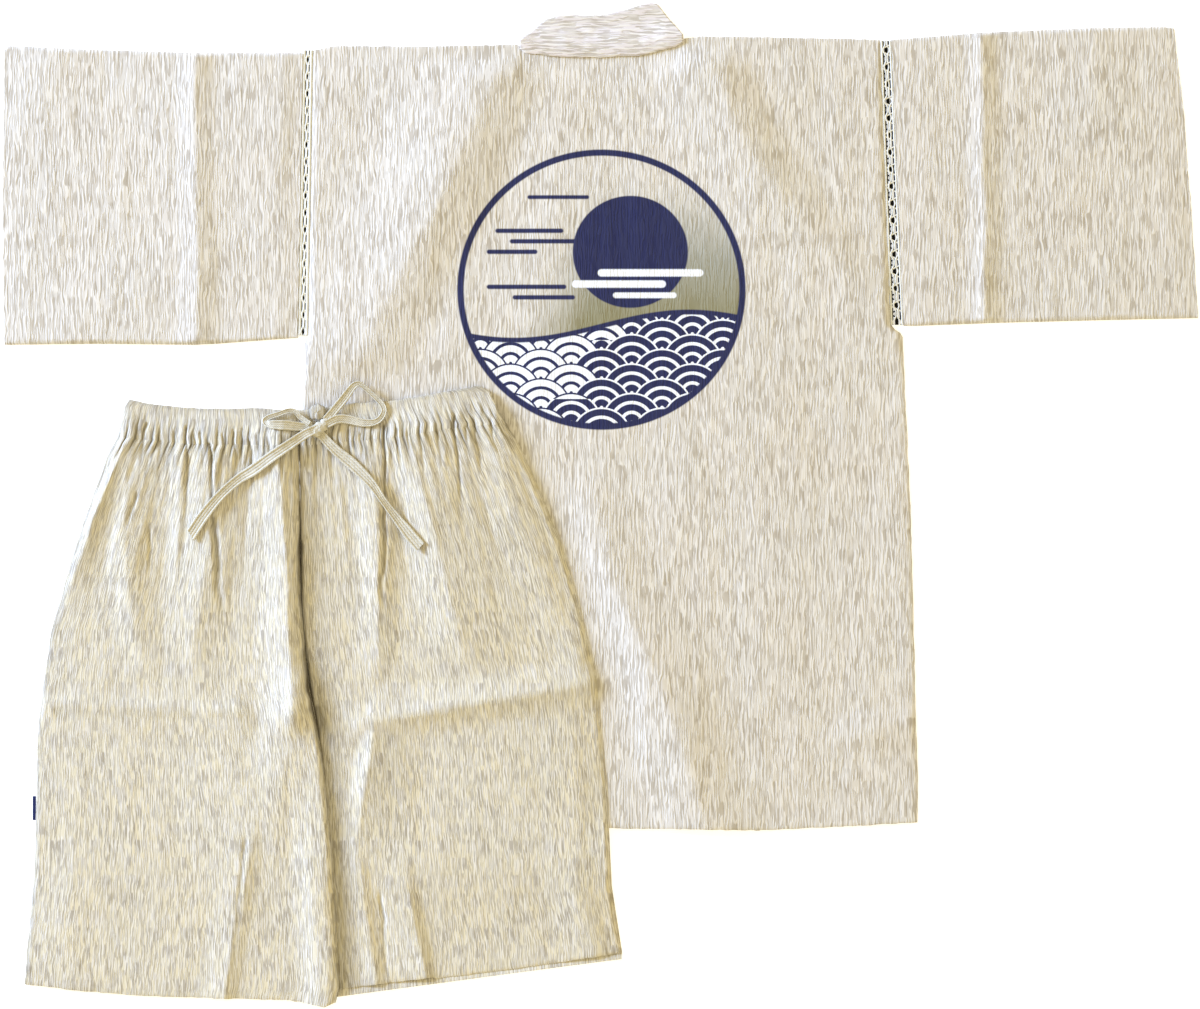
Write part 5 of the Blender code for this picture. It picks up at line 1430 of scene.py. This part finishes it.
class JINBEI_OT_jacket_back(bpy.types.Operator):
    """The jacket's back in crinkled cotton, with the round print dyed into it"""
    bl_idname = "jinbei.jacket_back"
    bl_label = "Jacket back"

    def execute(self, context):
        x, y = lay_out(JACKET, eased(224), eased(196))
        under = back_under(x, y)
        over = under + rolled(JACKET, x, y, WALL)
        back = shell("jacket_back", *ruffled(x, y), under, over, (x, y), finish("printed_cotton"),
                     "crinkled_cotton")
        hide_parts("back_body")
        lay_sheet(x, y)
        return {"FINISHED"}


class JINBEI_OT_jacket_fronts(bpy.types.Operator):
    """The two lapped fronts under the back, and the collar band down their edges"""
    bl_idname = "jinbei.jacket_fronts"
    bl_label = "Jacket fronts"

    def execute(self, context):
        top, bottom = shifted(JACKET.top, -FRONT_INSET), shifted(JACKET.bottom, FRONT_INSET)
        left = Panel(shifted(JACKET.left, FRONT_INSET), NECK_EDGE_LEFT, top, bottom)
        right = Panel(NECK_EDGE_RIGHT, shifted(JACKET.right, -FRONT_INSET), top, bottom)
        for name, node, panel in (("jacket_front_left", "front_left", left),
                                  ("jacket_front_right", "front_right", right)):
            lapping = node == "front_right"
            x, y = lay_out(panel, eased(44), eased(90))
            under = np.where(x > 0, lap_height(x), LAYER) if lapping else np.zeros(x.shape)
            add_under_layer(name, node, panel, x, y, under, float(np.ptp(x)))
        for name, node, edge, inner, outer in (
                ("collar_band_left", "collar_run_left", NECK_EDGE_LEFT, SEAM_GAP, COLLAR_RUN_WIDTH),
                ("collar_band_right", "collar_run_right", NECK_EDGE_RIGHT, -COLLAR_RUN_WIDTH, -SEAM_GAP)):
            lapping = node == "collar_run_right"
            panel = Panel(shifted(edge, inner), shifted(edge, outer), top, bottom)
            x, y = lay_out(panel, eased(12), eased(90))
            under = np.full(x.shape, LAYER * lapping)
            add_under_layer(name, node, panel, x, y, under, COLLAR_RUN_WIDTH)
        return {"FINISHED"}


def add_under_layer(name, node, panel, x, y, under, width):
    """A front or its collar band, level and faintly crinkled; a lapping one lies on the left front."""
    over = under + rolled(panel, x, y, WALL, hem=False) - raised(FRONT_CRINKLE, x, y, 91)
    if name.startswith("collar"):
        flat, cotton, slot = (y, x), finish("collar_band_cotton"), "collar_cotton"
    else:
        flat, cotton, slot = (x, y), finish("jacket_cotton"), "crinkled_cotton"
    piece = shell(name, x, y, under, over, flat, cotton, slot)
    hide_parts(node)
    declare_sheet(width, float(np.ptp(y)), plan_area(x, y))


class JINBEI_OT_collar(bpy.types.Operator):
    """The collar band round the back neck, its grain running along it"""
    bl_idname = "jinbei.collar"
    bl_label = "Collar"

    def execute(self, context):
        band = Panel([Side(0.0, COLLAR_TOP[0].x)], [Side(0.0, COLLAR_TOP[-1].x)], COLLAR_TOP,
                     shifted(JACKET.top, -COLLAR_LAP))
        x, y = lay_out(band, eased(110, 0.004), eased(34, 0.01))
        up = y - read(JACKET.top, x)
        fall = soft_step(1.0 - (up - COLLAR_HOLD) / COLLAR_FALL)
        rest = LAYER + lap_height(x) + LAYER
        wrinkle = 0.5 * (1.0 + np.sin(x / 9.0 + 0.12 * y)) + raised(COLLAR_CRINKLE, x, y, 61)
        under = rest * fall + wrinkle * np.clip(up / 20.0, 0, 1) * (0.35 + 0.65 * fall)
        over = under + rolled(band, x, y, BAND_WALL, hem=False)
        piece = shell("collar_band_back", *ruffled(x, y), under, over, (y, x), finish("collar_band_cotton"),
                      "collar_cotton")
        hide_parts("collar_back")
        lay_sheet(x, y)
        return {"FINISHED"}


class JINBEI_OT_sleeves(bpy.types.Operator):
    """The two sleeves: flattened tubes with a pressed crease, open at the armhole and the cuff"""
    bl_idname = "jinbei.sleeves"
    bl_label = "Sleeves"

    def execute(self, context):
        add_sleeve("left", SLEEVE_LEFT, SLEEVE_LEFT_FOLDS, 71, True)
        add_sleeve("right", SLEEVE_RIGHT, SLEEVE_RIGHT_FOLDS, 81, False)
        return {"FINISHED"}


def add_sleeve(side, panel, folds, seed, cuff_left):
    """A flattened tube: a ring of lower layer, folded edge, upper layer and folded edge, lofted.

    Ring places are shares of the turn; y follows the sleeve's two edges and z is the fold's
    radius, or on the upper layer twice that radius plus the folds' height.
    """
    share = eased(SLEEVE_RINGS)
    at_top = read(panel.left, 450.0) * (1 - share) + read(panel.right, 450.0) * share
    low, high = read(panel.bottom, at_top), read(panel.top, at_top)
    turn = np.linspace(-math.pi / 2, math.pi / 2, FOLD_STEPS + 2)[1:-1]
    lower, upper = np.linspace(0, 1, SLEEVE_LOWER), np.linspace(1, 0, SLEEVE_UPPER)
    ring_share = np.concatenate([lower, np.ones(FOLD_STEPS), upper, np.zeros(FOLD_STEPS)])
    ring_side = np.concatenate([lower * 0, np.cos(turn), upper * 0, -np.cos(turn)])
    ring_high = np.concatenate([lower * 0, 1 + np.sin(turn), upper * 0 + 2, 1 - np.sin(turn)])
    y = (low[:, None] + SLEEVE_FOLD) + (high - low - 2 * SLEEVE_FOLD)[:, None] * ring_share[None, :]
    y = y + SLEEVE_FOLD * ring_side[None, :]
    x = read(panel.left, y) * (1 - share[:, None]) + read(panel.right, y) * share[:, None]
    ease = soft_step((high[:, None] - y) / SEAM_FADE) * soft_step((y - low[:, None]) / SEAM_FADE)
    open_ends = soft_step(share * SLEEVE_ENDS)[:, None] * soft_step((1 - share) * SLEEVE_ENDS)[:, None]
    relief = folds_height(folds, x, y) * (0.25 + 0.75 * ease) + crinkled(x, y, seed) * ease * open_ends
    cuff = share if cuff_left else 1 - share
    hem = HEM_RISE * soft_step((HEM_DEPTH / SLEEVE_LENGTH - cuff) * 60)[:, None]
    is_upper = (ring_high == 2)[None, :]
    z = SLEEVE_FOLD * ring_high[None, :] + np.where(is_upper, relief + hem, 0.0)
    moved = [np.where(is_upper, pulled, plan) for pulled, plan in zip(ruffled(x, y), (x, y))]
    points = np.stack([*moved, z], axis=-1)
    upside = np.where(ring_high >= 1, 1.0, -1.0)[None, :]
    flat = np.stack([x, upside * (y - SLEEVE_LOW) + SLEEVE_LOW], axis=-1)
    sleeve = add_piece(f"sleeve_tube_{side}", points.reshape(-1, 3), grid_quads(*z.shape, ring=True),
                       flat.reshape(-1, 2), finish("jacket_cotton"))
    thick = sleeve.modifiers.new("wall", "SOLIDIFY")
    thick.thickness = WALL * MM
    thick.offset = -1.0
    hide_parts(f"sleeve_{side}")


class JINBEI_OT_openwork(bpy.types.Operator):
    """Openwork strips that join the sleeves to the jacket, an upper and a lower layer each"""
    bl_idname = "jinbei.openwork"
    bl_label = "Openwork"

    def execute(self, context):
        for side, left, right, top, bottom in (
                ("left", SLEEVE_LEFT.right, JACKET.left, 454.0, 169.0),
                ("right", JACKET.right, SLEEVE_RIGHT.left, 463.5, 179.5)):
            edges = shifted(left, SEAM_GAP), shifted(right, -SEAM_GAP)
            # the lower layer is painted a near-black shade so the upper layer's holes read as shadow
            for layer, lift, thread in (("back", LAYER + SEAM_GAP, "openwork_thread"),
                                        ("front", 0.0, "openwork_painted_shade")):
                add_openwork(side, layer, *edges, top, bottom, lift, finish(thread))
        return {"FINISHED"}


def thread_run(x, y, z, half_wide, half_high, around=8):
    """A thread carried along its places: an ellipse of a half width and a half height, ends closed.

    Gives its points, its faces and its flat places: the run along it, and the place across it.
    """
    places = np.stack([x, y], axis=-1)
    ahead, run = heading(places), runs_along(places)
    turn = np.linspace(0, 2 * math.pi, around, endpoint=False)
    aside = np.cos(turn)[None, :] * np.broadcast_to(half_wide, x.shape)[:, None]
    points = np.stack([x[:, None] - aside * ahead[:, 1:2], y[:, None] + aside * ahead[:, 0:1],
                       z[:, None] + np.sin(turn)[None, :] * half_high], axis=-1)
    flat = np.stack([np.broadcast_to(run[:, None], aside.shape), aside], axis=-1)
    return points.reshape(-1, 3), tube_faces(len(x), around, inward=True), flat.reshape(-1, 2)


def add_openwork(side, layer, left_edge, right_edge, top, bottom, lift, material):
    """A strip of openwork: a flat band along each edge and two cords that cross between them.

    The cords stand apart by a raised cosine of the place along the strip: together where the slots
    lie beside them and apart round a diamond; short bars tie them to the bands between. The lower
    layer's bands are wider and its cords stay together, so they lie behind the upper one's holes.
    """
    upper = layer == "back"
    down = np.arange(0.0, top - bottom + 0.01, THREAD_STEP)
    y = top - down
    left, right = read(left_edge, y), read(right_edge, y)
    middle = (left + right) / 2 + 0.3 * swing(down, 9.0, 15)
    delay = 0.0 if upper else LACE_PITCH / 2
    phase = (down + delay) / LACE_PITCH
    squeeze = LACE_SQUEEZE if side == "left" and upper else 1.0
    uneven = 1.0 + 0.7 * squeeze * swing(down, 14.0, 16 if side == "left" else 17)
    opening = (0.5 - 0.5 * np.cos(2 * math.pi * (phase - 0.05))) ** 2.2
    apart = (CORDS_TOGETHER + CORDS_APART * opening * uneven) * squeeze
    z = np.full(y.shape, lift + LACE_WALL / 2)
    band = (LACE_BAND if squeeze == 1.0 else LACE_BAND_TIGHT) + 0.25 * swing(down, 4.0, 18)
    half = 0.7
    if not upper:
        apart, band, half = np.full(y.shape, CORDS_TOGETHER), band + LOWER_BAND_MORE, 0.95
    runs = [thread_run(edge + sign * band / 2, y, z, band / 2, LACE_WALL / 2)
            for edge, sign in ((left, 1.0), (right, -1.0))]
    for sign in (-1.0, 1.0):
        ply = 0.25 * np.cos(2 * math.pi * phase) * sign
        runs.append(thread_run(middle + sign * apart, y, z + ply, half, LACE_WALL / 2 - 0.12))
    for repeat in range(int((top - bottom) / LACE_PITCH)):
        for at, slope in LACE_BARS:
            bar_y = top - ((repeat + at) * LACE_PITCH + delay)
            if bar_y < bottom + 3:
                continue
            low, high = float(read(left_edge, bar_y)) + 1.0, float(read(right_edge, bar_y)) - 1.0
            bar_x = np.linspace(low, high, 6)
            runs.append(thread_run(bar_x, bar_y + slope * (bar_x - (low + high) / 2) * 0.5,
                                   np.full(6, lift + LACE_WALL / 2 - 0.05), 0.7, 0.36, around=6))
    starts = np.cumsum([0] + [len(run[0]) for run in runs])
    faces = [[corner + int(start) for corner in face]
             for start, run in zip(starts, runs) for face in run[1]]
    strip = add_piece(f"openwork_{side}_{layer}", np.concatenate([run[0] for run in runs]), faces,
                      np.concatenate([run[2] for run in runs]), material)
    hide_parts(f"lace_{side}_{layer}")


class JINBEI_OT_waistband(bpy.types.Operator):
    """The shorts' waist casing: gathered in front, plain behind"""
    bl_idname = "jinbei.waistband"
    bl_label = "Waistband"

    def execute(self, context):
        cotton = finish("shorts_cotton")
        panel = WAISTBAND._replace(bottom=shifted(CASING_SEAM, 0.02))
        x, y = lay_out(panel, eased(640, 0.0006), eased(26, 0.012))
        under = casing_under(x, y)
        over = under + rolled(panel, x, y, GATHER_WALL, hem=False, joined="bottom")
        flat = ((share_across(WAISTBAND, x, y) - 0.5) * CASING_SPAN * CASING_FULL, y)
        # the casing's colour is darkened a little all over, more towards its left part
        darkened = CASING_DARKENED + DARKENED_LEFT * soft_step((INNER_LEFT[0].x - x) / 40.0)
        # painted shade along the casing's upper edge, joined below with the shade painted in its gather
        # valleys and creases
        rim = RIM_PAINTED_SHADE * soft_step(1.0 - (read(WAIST_TOP, x) - y) / 5.0)
        dark = np.maximum(np.maximum(casing_gathers(x, y)[1], creases(x, y)[1]), darkened + rim)
        front = shell("casing_front", *ruffled(x, y), under, over, flat, cotton, "crinkled_cotton", dark)
        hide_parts("waistband_front")
        pucker = add_ball("casing_pucker", [PUCKER_BALL], cotton, PUCKER_PAINTED_SHADE)
        lay_sheet(x, y, full=CASING_FULL)
        x, y = lay_out(panel, eased(110), eased(12, 0.012))
        under = carried(x, y)
        over = under + rolled(panel, x, y, WALL, hem=False)
        back = shell("casing_back", x, y, under, over, (x * CASING_FULL, y), cotton, "crinkled_cotton")
        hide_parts("waistband_back")
        lay_sheet(x, y, full=CASING_BACK_FULL)
        return {"FINISHED"}


class JINBEI_OT_legs(bpy.types.Operator):
    """The shorts' two legs, a front and a back panel each, the left one lapping over the right"""
    bl_idname = "jinbei.legs"
    bl_label = "Legs"

    def execute(self, context):
        add_leg(LEFT, 236, [add_tab()])
        add_leg(RIGHT, 262, [])
        return {"FINISHED"}


def add_leg(leg, columns, with_pieces):
    """A leg's front on its folds and gathers, and its level back, turned up where it shows."""
    cotton = finish("shorts_cotton")
    rows = np.concatenate([eased(126)[:-28], np.linspace(eased(126)[-28], 1.0, 40)])
    x, y = lay_out(leg.front, eased(columns, 0.0016), rows)
    under = leg_under(leg, x, y)
    over = under + rolled(leg.front, x, y, GATHER_WALL, joined="top") - SEAM_THIN * side_seam(x, y)
    front = shell(f"leg_{leg.side}_front", *ruffled(x, y), under, over,
                  (share_across(leg.front, x, y) * LEG_SPAN, y), cotton, "crinkled_cotton",
                  leg_painted_shade(leg, x, y))
    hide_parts(f"leg_front_{leg.side}")
    lay_sheet(x, y, full=LEG_FULL)
    x, y = lay_out(leg.back, eased(56, 0.002), eased(64))
    under = carried(x, y) + leg.lift(x, y)
    below = soft_step((read(leg.front.bottom, x) - y) / STRIP_STEP)
    over = under + WALL - SEAM_SINK * side_seam(x, y) + STRIP_RISE * below
    back = shell(f"leg_{leg.side}_back", x, y, under, over, (share_across(leg.back, x, y) * LEG_SPAN, y),
                 cotton, "crinkled_cotton")
    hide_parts(f"leg_back_{leg.side}")
    lay_sheet(x, y)


def add_tab():
    """The tab in the left side seam: a ribbon folded double, round at its fold."""
    edge = float(read(OUTER_LEFT, (TAB["top"] + TAB["bottom"]) / 2)) - SEAM_GAP
    middle, radius = (TAB["high"] + TAB["low"]) / 2, (TAB["high"] - TAB["low"]) / 2
    turn = np.linspace(math.pi / 2, 3 * math.pi / 2, 9)
    section_x = np.array([edge, *(edge - TAB["reach"] + radius + radius * np.cos(turn)), edge])
    section_z = np.array([middle + radius, *(middle + radius * np.sin(turn)), middle - radius])
    along, x = np.meshgrid(np.linspace(TAB["bottom"], TAB["top"], 25), section_x, indexing="ij")
    z = section_z[None, :] + 0.05 * np.sin(along)
    flat = np.stack([along, np.broadcast_to(np.arange(len(section_x)) * 0.7, along.shape)], axis=-1)
    tab = add_piece("side_tab_ribbon", np.stack([x, along, z], axis=-1).reshape(-1, 3),
                    tube_faces(*along.shape, inward=True), flat.reshape(-1, 2), finish("tab_twill"))
    merge_poles(tab)
    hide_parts("side_tab")
    return tab


class JINBEI_PT_panel(bpy.types.Panel):
    """Sizes, colours and pieces of the jinbei set"""
    bl_idname = "JINBEI_PT_panel"
    bl_label = "Jinbei set"
    bl_space_type = "VIEW_3D"
    bl_region_type = "UI"
    bl_category = "Jinbei"

    def draw(self, context):
        for label, group in GROUPS.items():
            box = self.layout.box()
            box.label(text=label.capitalize())
            for prop in group.__annotations__:
                box.prop(getattr(context.scene, "jinbei_" + label), prop)
        for operator in OPERATORS:
            self.layout.operator(operator.bl_idname)


GROUPS = {"cloth": JinbeiCloth, "print": JinbeiPrint, "trim": JinbeiTrim, "stage": JinbeiStage}
OPERATORS = (JINBEI_OT_stage, JINBEI_OT_drawstring, JINBEI_OT_jacket_fronts, JINBEI_OT_jacket_back,
             JINBEI_OT_collar, JINBEI_OT_sleeves, JINBEI_OT_openwork, JINBEI_OT_legs, JINBEI_OT_waistband)


def register():
    """Register the property groups, the operators and the panel."""
    for label, group in GROUPS.items():
        bpy.utils.register_class(group)
        setattr(bpy.types.Scene, "jinbei_" + label, PointerProperty(type=group))
    for operator in OPERATORS:
        bpy.utils.register_class(operator)
    bpy.utils.register_class(JINBEI_PT_panel)


def unregister():
    """Take away what register added."""
    bpy.utils.unregister_class(JINBEI_PT_panel)
    for operator in OPERATORS[::-1]:
        bpy.utils.unregister_class(operator)
    for label, group in GROUPS.items():
        delattr(bpy.types.Scene, "jinbei_" + label)
        bpy.utils.unregister_class(group)


def main():
    """Make every piece in turn."""
    register()
    bpy.ops.jinbei.stage()
    bpy.ops.jinbei.drawstring()
    bpy.ops.jinbei.jacket_fronts()
    bpy.ops.jinbei.jacket_back()
    bpy.ops.jinbei.collar()
    bpy.ops.jinbei.sleeves()
    bpy.ops.jinbei.openwork()
    bpy.ops.jinbei.legs()
    bpy.ops.jinbei.waistband()


if __name__ == "__main__":
    main()
